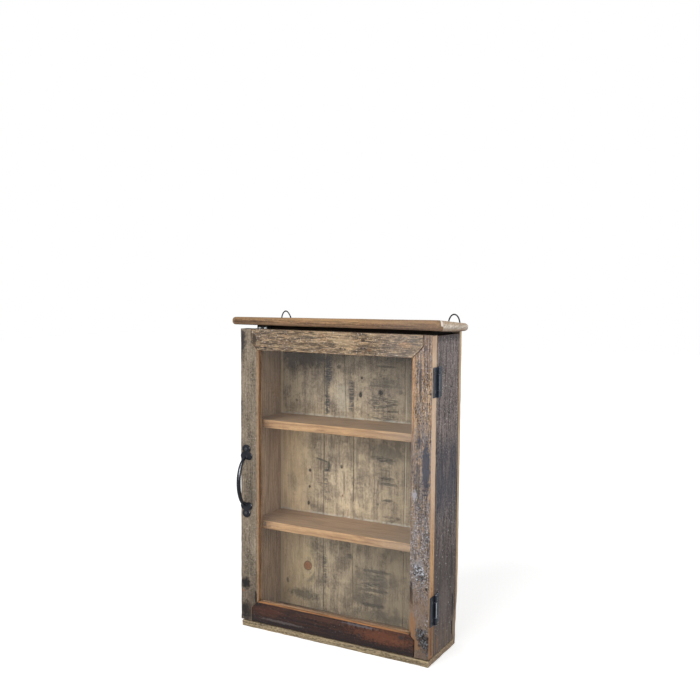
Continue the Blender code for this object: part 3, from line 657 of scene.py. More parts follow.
TIMBERS = {
    "side": Timber(shade(147, 134, 130), shade(56, 50, 50), arris=shade(140, 120, 98),
                   weather=shade(88, 86, 92), rings=0.2, fibre=1.25, streak=1.0, blotch=0.4,
                   mottle=1.0, greying=0.45, cracks=0.9, pits=0.9, flecks=1.0, worn_arris=0.3,
                   roughness=0.74, relief=0.8),
    "inside": Timber(shade(186, 157, 131), shade(145, 122, 102)),
    "inside_board": Timber(shade(142, 118, 98), shade(92, 76, 62), greying=0.3, cracks=0.3,
                           fibre=0.6, streak=0.5, blotch=0.5, mottle=0.3, worn_arris=0.0,
                           roughness=0.78, relief=0.5),
    "top": Timber(shade(148, 115, 84), shade(64, 50, 41), arris=shade(150, 120, 90),
                  weather=shade(112, 96, 76), rings=0.5, fibre=0.6, streak=0.7, blotch=0.6,
                  mottle=0.6, greying=0.35, cracks=0.7, pits=0.4, flecks=0.45, worn_arris=0.3,
                  roughness=0.72, relief=0.4, gloss=0.1),
    "bottom": Timber(shade(162, 144, 114), shade(88, 77, 59), arris=shade(176, 158, 128),
                     weather=shade(120, 110, 96), rings=0.2, fibre=0.8, streak=0.5, blotch=0.3,
                     mottle=0.9, greying=0.4, cracks=0.5, pits=0.7, flecks=0.4, worn_arris=0.35,
                     roughness=0.8, relief=0.9),
    "plank": Timber(shade(213, 191, 162), shade(130, 113, 97), arris=shade(214, 190, 156),
                    weather=shade(138, 126, 110), rings=0.22, fibre=0.45, streak=0.3, blotch=0.6,
                    mottle=0.5, greying=0.1, cracks=0.2, pits=0.25, worn_arris=0.25,
                    roughness=0.78, relief=0.3),
    "shelf": Timber(shade(196, 156, 116), shade(140, 104, 76), arris=shade(206, 164, 122),
                    rings=0.5, fibre=0.35, streak=0.4, blotch=0.5, mottle=0.25, cracks=0.15,
                    worn_arris=0.4, roughness=0.55, relief=0.2),
    "stile_left": Timber(shade(142, 128, 111), shade(78, 71, 60), arris=shade(168, 136, 106),
                         weather=shade(108, 100, 90), rings=0.1, fibre=0.4, streak=0.35, blotch=0.45,
                         mottle=0.7, greying=0.35, cracks=0.1, pits=0.2, flecks=0.6,
                         scratches=0.6, worn_arris=0.25, roughness=0.8, relief=0.5),
    "stile_right": Timber(shade(182, 150, 116), shade(80, 66, 56), arris=shade(150, 120, 94),
                          weather=shade(124, 122, 124), deep=shade(44, 41, 42), rings=0.3,
                          fibre=1.0, streak=0.7, blotch=0.4, mottle=1.0, greying=0.5, cracks=1.0,
                          pits=0.9, flecks=1.0, worn_arris=0.25, roughness=0.82, relief=1.0),
    "rail_top": Timber(shade(168, 144, 114), shade(88, 73, 60), arris=shade(176, 142, 108),
                       weather=shade(104, 96, 88), rings=0.3, fibre=1.2, streak=0.6, blotch=0.4,
                       mottle=0.5, greying=0.5, cracks=0.9, pits=0.5, flecks=0.5, worn_arris=0.3,
                       roughness=0.8, relief=0.9),
    "rail_bottom": Timber(shade(58, 37, 30), shade(24, 18, 18), arris=shade(96, 66, 50),
                          weather=shade(36, 32, 34), deep=shade(18, 15, 16), rings=0.3, fibre=0.6,
                          streak=0.6, blotch=0.7, mottle=0.4, greying=0.4, cracks=0.5, pits=0.3,
                          flecks=0.15, worn_arris=0.2, roughness=0.56, gloss=0.14, relief=0.5),
    "bead": Timber(shade(186, 149, 118), shade(122, 95, 77), arris=shade(160, 118, 82), rings=0.4,
                   fibre=0.5, blotch=0.6, mottle=0.3, worn_arris=0.35, roughness=0.6, relief=0.3),
}
FRESH_WOOD = (shade(206, 168, 128), shade(150, 114, 82))
PALE_END = (shade(228, 217, 202), shade(174, 161, 147))
PALE_EDGE = (shade(194, 170, 138), shade(162, 137, 107))
STAIN = shade(74, 70, 66)
TOOTH = shade(62, 62, 68)
SOOT = shade(40, 39, 40)
BLACK = shade(27, 27, 29)
BLUE_BLACK = shade(58, 60, 70)
RUST_BROWN = shade(140, 82, 50)
KNOT = shade(60, 48, 46)
DUST = shade(206, 200, 188)
# painted shade: near black for the side panels' top edges and the planks' top ends, which sit in the
# shaded gap under the top board
PAINTED_GAP_SHADE = shade(24, 20, 18)
# painted shadow: near black for the carcass top where it shows in the gap over the door
PAINTED_GAP_SHADOW = shade(22, 18, 16)

# Knots, stains, saw bars and black spots on each board, and one painted shadow on the first plank
MARKS = {
    "side_panel_right": (
        Mark(-90, -252, 5, 16, shade(132, 96, 72), 0.5, 0.6),
        Mark(-62, -186, 22, 34, shade(116, 106, 100), 0.35, 0.9),
        Mark(-13, -248, 9, 34, shade(146, 126, 104), 0.75, 0.5),
    ),
    "back_plank_1": (
        Mark(-112.1, -0.4, 3.4, 4.0, KNOT, 0.9, 0.25),
        Mark(-108, -13, 2.6, 12, shade(120, 98, 86), 0.5),
        Mark(-113, -32.1, 3.0, 3.4, KNOT, 0.9, 0.25),
        Mark(-114.7, -63.9, 3.0, 5.0, KNOT, 0.9, 0.3),
        Mark(-104, -68.5, 9, 5, STAIN, 0.45),
        Mark(-102.9, 44.1, 1.7, 2.4, KNOT, 0.7, 0.15),
        Mark(-88, 22.6, 12, 2.2, STAIN, 0.85, 0.25, -0.21),
        Mark(-102, -150, 12, 14, STAIN, 0.5, 0.6),
        Mark(-106, -209, 9, 12, STAIN, 0.5, 0.6),
        Mark(-122, -245, 34, 11, STAIN, 0.65, 0.6),
        Mark(-156.8, -233, 4.5, 6.5, shade(222, 200, 156), 0.7, 0.3),
        Mark(-162, -224, 3, 7, STAIN, 0.6),
        Mark(-143, 133, 3, 3, STAIN, 0.6, 0.3),
        # painted shadow: the dark patch at the top left of the upper compartment
        Mark(-126, 232, 66, 46, shade(72, 63, 58), 0.85, 0.35),
        Mark(-150, -28, 14, 22, STAIN, 0.3, 0.6),
        Mark(-92, 205, 10, 34, STAIN, 0.3, 0.6),
    ),
    "back_plank_2": (
        Mark(-72, 192, 9, 30, TOOTH, 0.85, 0.5, torn=True),
        Mark(-74, 130, 7, 26, TOOTH, 0.85, 0.4, torn=True),
        Mark(-74, 212, 8, 14, TOOTH, 0.6, 0.6),
        Mark(-76, 160, 4, 62, TOOTH, 0.6, 0.6),
        Mark(-77, -20, 4.5, 40, STAIN, 0.7, 0.4, torn=True),
        Mark(-77, -185, 4, 38, STAIN, 0.8, 0.4, torn=True),
        Mark(-49.8, 201.5, 5, 4, STAIN, 0.7, 0.3),
        Mark(-70.1, 12, 3.2, 11, STAIN, 0.85, 0.3),
        Mark(-75, 3.7, 7, 2.6, STAIN, 0.8, 0.3),
        Mark(-78, 20.4, 5, 2.2, STAIN, 0.85, 0.25, -0.21),
        Mark(-43, 13.2, 2.8, 4.0, KNOT, 0.9, 0.12),
        Mark(-37.4, -17, 2.4, 26, shade(104, 86, 78), 0.6, 0.5),
        Mark(-40.5, -41.2, 1.9, 2.8, shade(118, 70, 54), 0.85, 0.15),
        Mark(-65.9, 48, 5, 30, STAIN, 0.35, 0.6),
        Mark(-44, 142, 15, 30, shade(226, 214, 192), 0.4, 0.8, soft=1.2),
        Mark(-22, 150, 6, 40, TOOTH, 0.75, 0.9, torn=True),
        Mark(-22, -155, 9, 7, STAIN, 0.55, 0.6),
        Mark(-50, 226, 30, 20, STAIN, 0.4, 0.6),
    ),
    "back_plank_3": (
        Mark(-1.5, 183.3, 2.8, 3.2, KNOT, 0.9, 0.2),
        Mark(78.2, 161.3, 4, 4.6, STAIN, 0.5, 0.2),
        Mark(49, 206.6, 25, 2.2, STAIN, 0.6, 0.2),
        Mark(46, 193, 22, 5, STAIN, 0.4, 0.6, torn=True),
        Mark(44, 176, 30, 16, STAIN, 0.45, 0.5, soft=1.2),
        Mark(38, 180, 20, 7, STAIN, 0.5, 0.6, torn=True),
        Mark(42, 170.6, 30, 2.2, STAIN, 0.45, 0.3),
        Mark(42, 138, 34, 18, STAIN, 0.75, 0.5, torn=True),
        Mark(63, 125.5, 12, 2.6, SOOT, 0.65, 0.4),
        Mark(44, 114, 36, 8, STAIN, 0.7, 0.5, torn=True),
        Mark(57, 108, 17, 2.0, SOOT, 0.65, 0.4),
        Mark(50, 46, 42, 22, shade(88, 82, 74), 0.6, 0.6),
        Mark(47, 35, 25, 6, STAIN, 0.8, 0.5, -0.13, True),
        Mark(52, 17.5, 13, 4, STAIN, 0.5, 0.6, torn=True),
        Mark(52, 1.2, 17, 3.2, STAIN, 0.7, 0.35),
        Mark(54, -9.1, 19, 3.0, STAIN, 0.7, 0.3),
        Mark(52, -4, 19, 9, STAIN, 0.5, 0.6, torn=True),
        Mark(54, -39.4, 12, 2.8, STAIN, 0.75, 0.35),
        Mark(60, -73, 22, 6, STAIN, 0.6, 0.6, torn=True),
        Mark(75.5, -70.4, 5, 4, SOOT, 0.5),
        Mark(7.1, -14.7, 2, 2.8, STAIN, 0.7, 0.3),
        Mark(34.4, -48.8, 3, 2.8, STAIN, 0.55, 0.3),
        Mark(34, -176, 33, 3.6, STAIN, 0.7, 0.35, 0.02),
        Mark(32, -187, 21, 8, STAIN, 0.65, 0.5, torn=True),
        Mark(25, -202, 26, 6, STAIN, 0.8, 0.5, torn=True),
        Mark(30, -212.4, 34, 4.2, STAIN, 0.7, 0.35, 0.02),
        Mark(18, -223, 16, 5, STAIN, 0.6, 0.6, torn=True),
        Mark(30, -192, 38, 20, STAIN, 0.5, 0.7),
        Mark(18, -232, 32, 15, STAIN, 0.45, 0.7),
        Mark(24, -241, 28, 4.2, STAIN, 0.75, 0.4),
        Mark(-10, 32, 3.4, 34, STAIN, 0.45, 0.6),
        Mark(60, 226, 40, 16, STAIN, 0.35, 0.6),
        Mark(40, -258, 60, 10, STAIN, 0.4, 0.6),
        Mark(-4.3, 152.2, 4.2, 6.8, shade(46, 43, 44), 0.95, 0.35),
        Mark(37.5, 158.7, 5.6, 6.6, shade(44, 43, 47), 0.95, 0.25),
    ),
    "back_plank_4": (
        Mark(97, 150, 7, 60, STAIN, 0.35, 0.6),
    ),
    "shelf_lower": (
        Mark(-151, -88, 3.4, 4.4, shade(92, 82, 74), 0.85, 0.3),
        Mark(-141, -91, 2.6, 2.6, shade(110, 92, 78), 0.6, 0.3),
    ),
    "shelf_upper": (
        Mark(60, 98, 40, 4, shade(150, 120, 96), 0.4, 0.9),
    ),
    "door_stile_left": (
        Mark(-187, 252, 9, 24, SOOT, 0.9, 0.5),
        Mark(-189.5, 127, 3, 14, SOOT, 0.75, 0.4),
        Mark(-189, -120, 2.6, 30, SOOT, 0.5, 0.6),
        Mark(-179, -198, 12, 12, BLACK, 0.95, 0.5),
        Mark(-177, -249, 14, 18, BLACK, 0.9, 0.6),
        Mark(-157, -222, 3.4, 16, BLACK, 0.9, 0.4),
        Mark(-168, -232, 9, 30, shade(66, 56, 48), 0.5, 0.8),
        Mark(-170, -262, 20, 6, SOOT, 0.6),
        Mark(-184, -212, 2.2, 2.2, RUST_BROWN, 0.7, 0.3),
    ),
    "door_stile_right": (
        Mark(168.5, 196, 2.4, 40, shade(70, 68, 72), 0.75, 0.5),
        Mark(169, 100, 4, 9, BLUE_BLACK, 0.7, 0.6),
        Mark(181, 52, 8, 50, BLUE_BLACK, 0.85, 0.7, soft=0.3),
        Mark(166, 30, 5, 44, STAIN, 0.6, 0.9, soft=0.3),
        Mark(160.5, 8, 5, 10, shade(158, 158, 164), 0.7, 0.6),
        Mark(184, -147, 2.6, 3, BLACK, 0.95, 0.2),
        Mark(156, -160, 4.6, 23, BLACK, 0.9, 0.6),
        Mark(170, -110, 9, 14, shade(148, 144, 144), 0.4, 0.8),
    ),
    "door_rail_top": (
        Mark(-160, 254, 5, 13, shade(58, 50, 44), 0.8),
        Mark(154, 263, 12, 9, STAIN, 0.6, 0.7, torn=True),
        Mark(143, 246, 14, 7, BLACK, 0.5, 0.7, torn=True),
        Mark(140, 256, 16, 6, shade(176, 134, 92), 0.35),
        Mark(62, 260.7, 4.5, 2.6, SOOT, 0.9, 0.3),
        Mark(-49, 262.8, 15, 3, STAIN, 0.7, 0.6),
        Mark(-136, 241, 3, 2.2, SOOT, 0.9, 0.3),
        Mark(19, 246, 1.8, 1.8, SOOT, 0.9, 0.2),
        Mark(27.5, 245, 1.6, 1.6, SOOT, 0.9, 0.2),
        Mark(74, 244.8, 5, 2.6, RUST_BROWN, 0.5),
        Mark(26, 258, 26, 9, shade(204, 178, 142), 0.3, 0.7),
        Mark(110, 252, 34, 5, SOOT, 0.55, 0.8, torn=True),
        Mark(-20, 250, 40, 5, SOOT, 0.55, 0.9, torn=True),
        Mark(60, 244, 50, 4, SOOT, 0.6, 0.9, torn=True),
    ),
    "door_rail_bottom": (
        Mark(-128, -242, 36, 10, shade(92, 55, 42), 0.28, 0.9),
        Mark(104, -243, 56, 13, shade(112, 68, 48), 0.5, 0.9, soft=1.2),
        Mark(138, -248, 24, 4, shade(104, 68, 48), 0.3, 0.7),
        Mark(139, -238, 5, 4, SOOT, 0.85, 0.3),
        Mark(59, -249, 3, 2.6, SOOT, 0.8, 0.3),
        Mark(-10, -236, 60, 5, shade(84, 56, 44), 0.4, 0.8),
        Mark(60, -233, 34, 2.4, shade(96, 92, 96), 0.6, 0.9),
        Mark(-100, -258, 50, 2.6, shade(104, 98, 96), 0.35, 0.9),
    ),
}

# Old paint on the right stile, and the bare and black places at its foot
STILE_PAINT = (
    Mark(171, -122, 15, 17, SOOT, 0.85, 0.7, -0.55, soft=0.4),
    Mark(185, -60, 4, 12, SOOT, 0.8, 0.6, soft=0.3),
    Mark(186, -210, 4, 26, SOOT, 0.8, 0.6, soft=0.3),
)
STILE_FOOT = (
    Mark(159, -220, 8, 34, shade(132, 98, 70), 0.8, 0.5, soft=0.4),
    Mark(167, -243, 10, 13, shade(126, 94, 68), 0.75, 0.6, soft=0.4),
    Mark(180, -234, 14, 17, shade(58, 56, 58), 0.55, 0.8, -0.7, soft=0.6),
)
STILE_FOOT_PAINT = (
    Mark(179, -234, 15, 20, BLACK, 0.95, 0.6, -0.7, soft=0.5),
    Mark(188, -250, 4, 20, BLACK, 0.8, 0.6, soft=0.4),
)

# A crack or joint line on each plank: start, end, half width, colour and strength
PLANK_LINES = {
    "back_plank_1": ((-81.8, 250), (-81.8, -262), 1.5, STAIN, 0.6),
    "back_plank_2": ((-39.4, 240), (-34.0, 108), 1.5, STAIN, 0.55),
    "back_plank_3": ((-17.0, 68), (-16.6, -50), 1.5, STAIN, 0.6),
    "back_plank_4": ((89.2, 150), (89.0, -84), 0.9, DUST, 0.5),
}
# How strongly each plank's rear takes its own tone
PLANK_BACKS = {
    "back_plank_1": (0.30, shade(176, 152, 122)),
    "back_plank_2": (0.35, shade(112, 98, 84)),
    "back_plank_3": (0.15, shade(208, 186, 150)),
    "back_plank_4": (0.40, shade(134, 126, 118)),
}


def paint_side(name, seed):
    """A side panel: dark and weathered outside, browner inside, with painted shade at its top under the
    top board.
    """
    board = Board(name, TIMBERS["side"], "z", seed)
    inner = TIMBERS["inside"]
    outward = 1 if name == "side_panel_right" else -1
    outside = (board.x * outward).rise(BOARD_EDGE - 1.6, BOARD_EDGE - 0.9)
    board.age()
    board.fade(board.z, 0, -150, 0.8, shade(68, 61, 60))
    board.fade(board.z, 150, 250, 0.12, shade(150, 142, 142))
    # painted shadow: a dark band under the top board's overhang
    board.fade(board.z, 256, 268, 0.6, shade(58, 53, 56))
    specks = board.graph.cloud(board.point, (3.4, 5.0, 2.8), 1.0, 0.5).rise(0.68, 0.74)
    board.layer(specks * board.ragged.rise(-0.2, 0.1) * 0.9, shade(182, 178, 172))
    board.layer(board.z.rise(-190, -270) * board.streaks.rise(0.5, 0.66) * 0.6, shade(128, 98, 74))
    board.fade(board.z, -200, -250, 0.16, shade(142, 126, 110))
    middle = board.z.rise(-80, 10) * board.z.rise(120, 62)
    board.layer(middle * (board.broad.rise(0.35, 0.6) * 0.35 + 0.4) * outside, BLUE_BLACK)
    if outward > 0:
        board.line(board.y, (-24.4, -184), (-25.0, -222), 3.2, BLACK, 0.95, 0.4)
        board.line(board.y, (-26.0, -232), (-26.5, -256), 3.2, BLACK, 0.95, 0.4)
        board.line(board.y, (-30.7, -96), (-27.5, -150), 2.4, BLACK, 0.7)
        board.line(board.y, (-97, -224), (-95, -268), 1.4, SOOT, 0.6)
        board.marks(board.y, MARKS[name])
    board.retone(1 - outside, inner.light, inner.dark)
    # painted shade: the top edge, in the shaded gap under the top board, is made near black
    board.fade(board.z, SIDE_TOP - 1.0, SIDE_TOP - 0.3, 0.9, PAINTED_GAP_SHADE)
    # painted shade: the inner face darkens towards the top of the case
    board.layer((1 - outside) * board.z.rise(150, 270) * 0.35, shade(86, 76, 70))
    board.line(board.y, (-48.0, 92), (-54.0, -60), 1.0, shade(96, 80, 70), 0.5)
    return board.finish()


def paint_plank(name, seed):
    """A back plank, with its knots, the saw's dark bars and dust where it meets the shelves, and painted
    shadow below the door's top rail and at its top end.
    """
    board = Board(name, TIMBERS["plank"], "z", seed)
    g = board.graph
    board.age()
    board.front = board.y.rise(-3, -6)
    weave = g.cloud(board.point, (12, 12, 1.6), 3.0, 0.65).rise(0.5, 0.64)
    board.layer(weave * board.broad.rise(0.62, 0.42) * 0.4 * board.front, STAIN)
    smudge = g.cloud(board.point, (30, 30, 26), 4.0, 0.62)
    board.fade(smudge, 0.50, 0.64, 0.5, shade(110, 97, 84))
    board.fade(smudge, 0.47, 0.34, 0.45, shade(226, 204, 168))
    board.fade(board.x, -30, 90, 0.45, shade(110, 98, 84))
    board.layer(board.z.rise(-85, -130) * board.x.rise(-110, -40) * 0.35, shade(104, 90, 74))
    board.retone(board.x.rise(-90, -150) * board.z.rise(140, 60) * board.front * 0.8,
                 shade(252, 225, 186), shade(216, 186, 147))
    board.layer(board.z.rise(100, 150) * board.front * 0.05, shade(178, 178, 194))
    board.marks(board.x, MARKS[name])
    board.line(board.x, *PLANK_LINES[name], 0.6)
    if name == "back_plank_1":
        board.round_knot(-116.4, -187.9, 8.0)
        dusty = board.x.rise(-172.5, -175) * board.ragged.rise(-0.3, 0.0)
        board.layer(dusty * board.front * 0.85, shade(220, 199, 166))
    for shelf in ("shelf_upper", "shelf_lower"):
        top = corners(shelf)[1].z
        near = board.z.rise(top + 4.5, top + 1.0) * board.z.rise(top - 3, top)
        board.layer(near * board.ragged.rise(-0.15, 0.1) * 0.6 * board.front, DUST)
    # painted shadow: the plank darkens towards the top, below the door's top rail
    board.layer((board.z + board.ragged * 60).rise(190, 250) * board.front * 0.5, shade(84, 74, 66))
    # painted shade: the top end, seen through the gap under the top board, is made near black
    board.fade(board.z, PLANK_TOP - 7, PLANK_TOP - 5, 0.9, PAINTED_GAP_SHADE)
    rear = 1 - board.front
    share, tone = PLANK_BACKS[name]
    board.layer(rear * share, tone)
    low, high = corners(name)
    seam = (board.x - low.x).least(high.x - board.x) + board.ragged * 2
    board.layer(seam.rise(2.2, 0.8) * rear * 0.8, shade(58, 50, 44))
    rim = abs(board.x).rise(BOARD_EDGE - 1.2, BOARD_EDGE - 0.5)
    board.retone(rim, *PALE_EDGE)
    board.layer(rim * board.z.rise(-40, -220) * 0.7, shade(138, 106, 78))
    return board.finish()


def paint_top(name, seed):
    """The top board, bare and pale at its right end, with a chip at the front corner, painted shade on its
    nose's lower half and underside, and a painted highlight along the nose's upper half.
    """
    board = Board(name, TIMBERS["top"], "x", seed)
    g = board.graph
    glow = g.cloud(board.wood, (4, 4, 60), 3.0, 0.6).rise(0.5, 0.66)
    board.layer(glow * 0.35, shade(182, 148, 108))
    board.age()
    back = board.y - TOP_LOW.y
    height = board.z - TOP_LOW.z + back * (TOP_DROP / (TOP_HIGH.y - TOP_LOW.y))
    girth = (board.x - TOP_HIGH.x) + back
    end = board.x.rise(SIDE_FACE, SIDE_FACE + 8)
    board.retone(girth.rise(7, 10) * end * 0.95, *PALE_END)
    # painted shade on the nose's lower half
    board.fade(height, 9, 3, 0.5, shade(84, 66, 58))
    # painted highlight along the nose's upper half
    board.fade(height, 8, 14, 0.35, shade(188, 150, 106))
    board.layer(board.x.rise(40, 150) * girth.rise(6, 2) * 0.35, shade(96, 86, 86))
    board.fade(board.x, -90, -190, 0.4, shade(92, 70, 50))
    corner = girth.rise(1, 3) * girth.rise(10, 8) * end * (back + board.ragged * 6).rise(12, 8)
    chip = corner * (height * 0.09 + board.ragged * 1.6).rise(0.65, 0.9)
    board.layer(chip, shade(236, 230, 222), 0.4)
    # painted shade on the underside
    board.fade(height, 2.0, 0.2, 0.85, shade(34, 27, 22))
    return board.finish()


def paint_carcass_top(name, seed):
    """The board under the top, with painted shadow that makes it near black where it shows in the gap over
    the door and at its ends.
    """
    board = Board(name, TIMBERS["inside_board"], "x", seed)
    board.age()
    # painted shadow over the front edge and at the ends, which show in the gap
    board.fade(board.z, 267, 271, 0.92, PAINTED_GAP_SHADOW)
    board.fade(abs(board.x), SIDE_FACE - 3, SIDE_FACE - 1, 0.9, PAINTED_GAP_SHADOW)
    return board.finish()


def paint_shelf(name, seed):
    """A shelf of clean pine with a paler, dustier upper face behind its front edge."""
    front = corners(name)[0].y
    board = Board(name, TIMBERS["shelf"], "x", seed)
    board.retone(board.y.rise(front + 0.8, front + 2.4), shade(188, 156, 128), shade(154, 126, 102))
    board.fade(board.x, 30, 150, 0.35, shade(164, 152, 142))
    board.age()
    board.marks(board.x, MARKS[name])
    return board.finish()


def paint_stile_left(name, seed):
    """The grey stile under the pull, black at its foot, with fresh wood at the opening."""
    board = Board(name, TIMBERS["stile_left"], "z", seed)
    board.age()
    board.fade(board.z, -120, -250, 0.45, shade(72, 62, 52))
    board.layer(board.x.rise(-186, -189) * board.ragged.rise(-0.2, 0.05) * 0.5, SOOT)
    board.marks(board.x, MARKS[name])
    # painted shade: a dark line along the stile's top edge, standing for the shaded gap behind it
    board.layer(board.z.rise(DOOR_TOP - 1.2, DOOR_TOP - 0.5) * board.x.rise(-181, -178) * 0.85, SOOT)
    inner = board.x.rise(OPENING_LEFT - 0.9, OPENING_LEFT - 0.3)
    board.retone(inner, *FRESH_WOOD)
    board.layer(inner * 0.25, shade(120, 74, 52))
    board.layer(inner * board.y.rise(DOOR_FACE + 3, DOOR_FACE + 7) * 0.55, shade(88, 62, 48))
    return board.finish()


def paint_stile_right(name, seed):
    """The most weathered board: bare orange wood, grey crust, pale flecks and black patches."""
    board = Board(name, TIMBERS["stile_right"], "z", seed)
    g = board.graph
    rust = g.cloud(board.wood, (5, 5, 26), 3.0, 0.65)
    board.fade(rust, 0.58, 0.68, 0.4, shade(156, 110, 74))
    board.age()
    board.fade(board.z, 90, 0, 0.25, shade(84, 84, 92))
    board.fade(board.z, 60, -200, 0.5, shade(84, 75, 70))
    thin = g.cloud(board.wood, (1.5, 1.5, 9), 3.0, 0.75)
    board.fade(thin, 0.57, 0.64, 0.6, shade(56, 50, 50))
    board.fade(thin, 0.42, 0.36, 0.45, shade(196, 180, 162))

    # Grey crust over the middle of the face, with white salt and black pepper in it
    crust = g.cloud(board.point, (7, 7, 17), 5.0, 0.75)
    middle = board.x.rise(156, 164) * board.x.rise(190, 186)
    board.layer(crust.rise(0.48, 0.60) * middle * board.z.rise(230, 60) * 0.6,
                shade(112, 110, 114), 0.15)
    dark = g.cloud(board.point, (4, 4, 13), 4.0, 0.7)
    board.layer(dark.rise(0.42, 0.36) * middle * 0.8, shade(54, 53, 58), 0.2)
    salt = g.cloud(board.point, (1.7, 1.7, 2.0), 2.0, 0.7).rise(0.56, 0.64)
    band = board.z.rise(30, -60) * board.z.rise(-180, -120)
    board.layer(salt * crust.rise(0.38, 0.50) * (band * 0.6 + 0.3), shade(190, 190, 194))
    pepper = g.cloud(board.point, (2.0, 2.0, 2.8), 2.0, 0.7).rise(0.42, 0.35)
    board.layer(pepper * (board.z.rise(90, 30) * 0.5 + 0.35) * middle, shade(40, 39, 42), 0.2)

    # Spots and old paint, then the browner foot with its own
    board.marks(board.x, MARKS[name])
    board.crusts(board.x, shade(182, 186, 194), STILE_PAINT)
    board.fade(board.z, -130, -190, 0.4, shade(124, 101, 80))
    board.fade(board.z, -195, -240, 0.45, shade(72, 60, 52))
    board.marks(board.x, STILE_FOOT)
    board.crusts(board.x, shade(104, 106, 110), STILE_FOOT_PAINT)
    board.line(board.x, (154.5, -224), (158.5, -264), 3.0, SOOT, 0.85, 0.6)

    # Broad changes of tone, and cracks that run down from the top
    board.fade(board.z, 195, 240, 0.12, shade(160, 152, 154))
    board.layer(board.z.rise(20, 50) * board.z.rise(145, 110) * 0.25, shade(84, 88, 98))
    board.layer(board.x.rise(161, 156) * board.z.rise(60, 140) * 0.45, shade(176, 130, 88))
    for u in (174.5, 179.5, 184.0):
        board.line(board.x, (u, 272), (u + 1.0, 214), 1.0, shade(84, 62, 56), 0.7)

    # The fresh edge that the hinges are let into
    side = board.x.rise(BOARD_EDGE - 0.9, BOARD_EDGE - 0.4)
    board.retone(side, *FRESH_WOOD)
    board.layer(side * board.z.rise(-120, 60) * 0.6, shade(214, 192, 172))
    board.layer(side * board.z.rise(235, 262) * 0.25, shade(150, 116, 92))
    board.layer(side * board.z.rise(-90, -230) * 0.7, shade(114, 82, 62))
    board.line(board.y, (-117, -214), (-116, -262), 1.8, BLACK, 0.8)
    return board.finish()


def paint_rail_top(name, seed):
    """The door's top rail: brown and grey, split along the grain."""
    board = Board(name, TIMBERS["rail_top"], "x", seed)
    g = board.graph
    glow = g.cloud(board.wood, (9, 9, 40), 3.0, 0.6)
    board.fade(glow, 0.54, 0.66, 0.35, shade(178, 136, 96))
    board.age()
    board.fade(board.x, -40, -150, 0.4, shade(90, 80, 72))
    thin = g.cloud(board.wood, (1.9, 1.9, 13), 4.0, 0.78)
    board.layer(thin.rise(0.54, 0.59) * 0.6, shade(62, 53, 48), 0.3)
    board.fade(thin, 0.47, 0.41, 0.6, shade(200, 172, 136))
    split = abs(g.cloud(board.wood, (3.0, 3.0, 34), 3.0, 0.6, 0.3) - 0.5).rise(0.05, 0.02)
    board.layer(split * board.speckle.rise(0.40, 0.55) * 0.7, shade(46, 40, 38), 0.4)
    specks = g.cloud(board.point, (3.0, 3.0, 2.4), 1.0)
    board.fade(specks, 0.66, 0.72, 0.7, shade(206, 200, 196))
    board.marks(board.x, MARKS[name])
    board.fade(board.x, 60, 130, 0.14, shade(180, 172, 168))
    board.layer(board.x.rise(-60, -20) * board.x.rise(70, 30) * 0.04, shade(222, 196, 162))
    return board.finish()


def paint_rail_bottom(name, seed):
    """The door's bottom rail: old dark red paint, worn through at its upper lip."""
    board = Board(name, TIMBERS["rail_bottom"], "x", seed)
    board.age()
    board.fade(board.z, DOOR_FOOT + 15, DOOR_FOOT + 4, 0.6, shade(27, 23, 25))
    board.marks(board.x, MARKS[name])
    lip = board.z.rise(OPENING_FOOT - 1.2, OPENING_FOOT - 0.6)
    board.layer(lip * (board.streaks.rise(0.35, 0.6) * 0.6 + 0.3), shade(190, 136, 92))
    return board.finish()


def paint_bottom(name, seed):
    """The bottom board: grey at its rim, smooth and browner inside the case."""
    board = Board(name, TIMBERS["bottom"], "x", seed)
    board.age()
    inside = (board.y.rise(DOOR_FACE + 18, DOOR_FACE + 30)
              * abs(board.x).rise(SIDE_FACE + 0.5, SIDE_FACE - 0.5))
    figure = (board.streaks * 0.6 + board.fibres * 0.4).rise(0.36, 0.62)
    board.layer(inside * 0.92, board.graph.mix(figure, shade(162, 138, 112), shade(106, 88, 72)))
    board.height = board.height * (1 - inside * 0.75)
    rim = board.x.rise(BOARD_EDGE - 1.0, BOARD_EDGE - 0.4)
    board.retone(rim, shade(160, 139, 115), shade(106, 91, 78))
    return board.finish()


def paint_bead(name, seed):
    """A glazing bead, its grain along its length."""
    grain = "z" if name.endswith(("left", "right")) else "x"
    board = Board(name, TIMBERS["bead"], grain, seed)
    board.age()
    return board.finish()


@dataclass
class Plan:
    """How a board is painted, cut into a grid, worn and shaped."""
    paint: object
    seed: int
    grain: str
    steps: tuple                                           # of the grid along x, y and z, in millimetres
    sag: float = 1.0                                       # these three are shares of the settings
    grooves: float = 1.0
    arris: float = 1.0
    reach: float = 2.6                                     # of the rubbed arrises, in millimetres
    shaping: object = None

    def wear(self, timber):
        return Wear(timber.face_wave / MM * self.sag, timber.groove_depth / MM * self.grooves,
                    timber.arris_wear / MM * self.arris, self.reach)


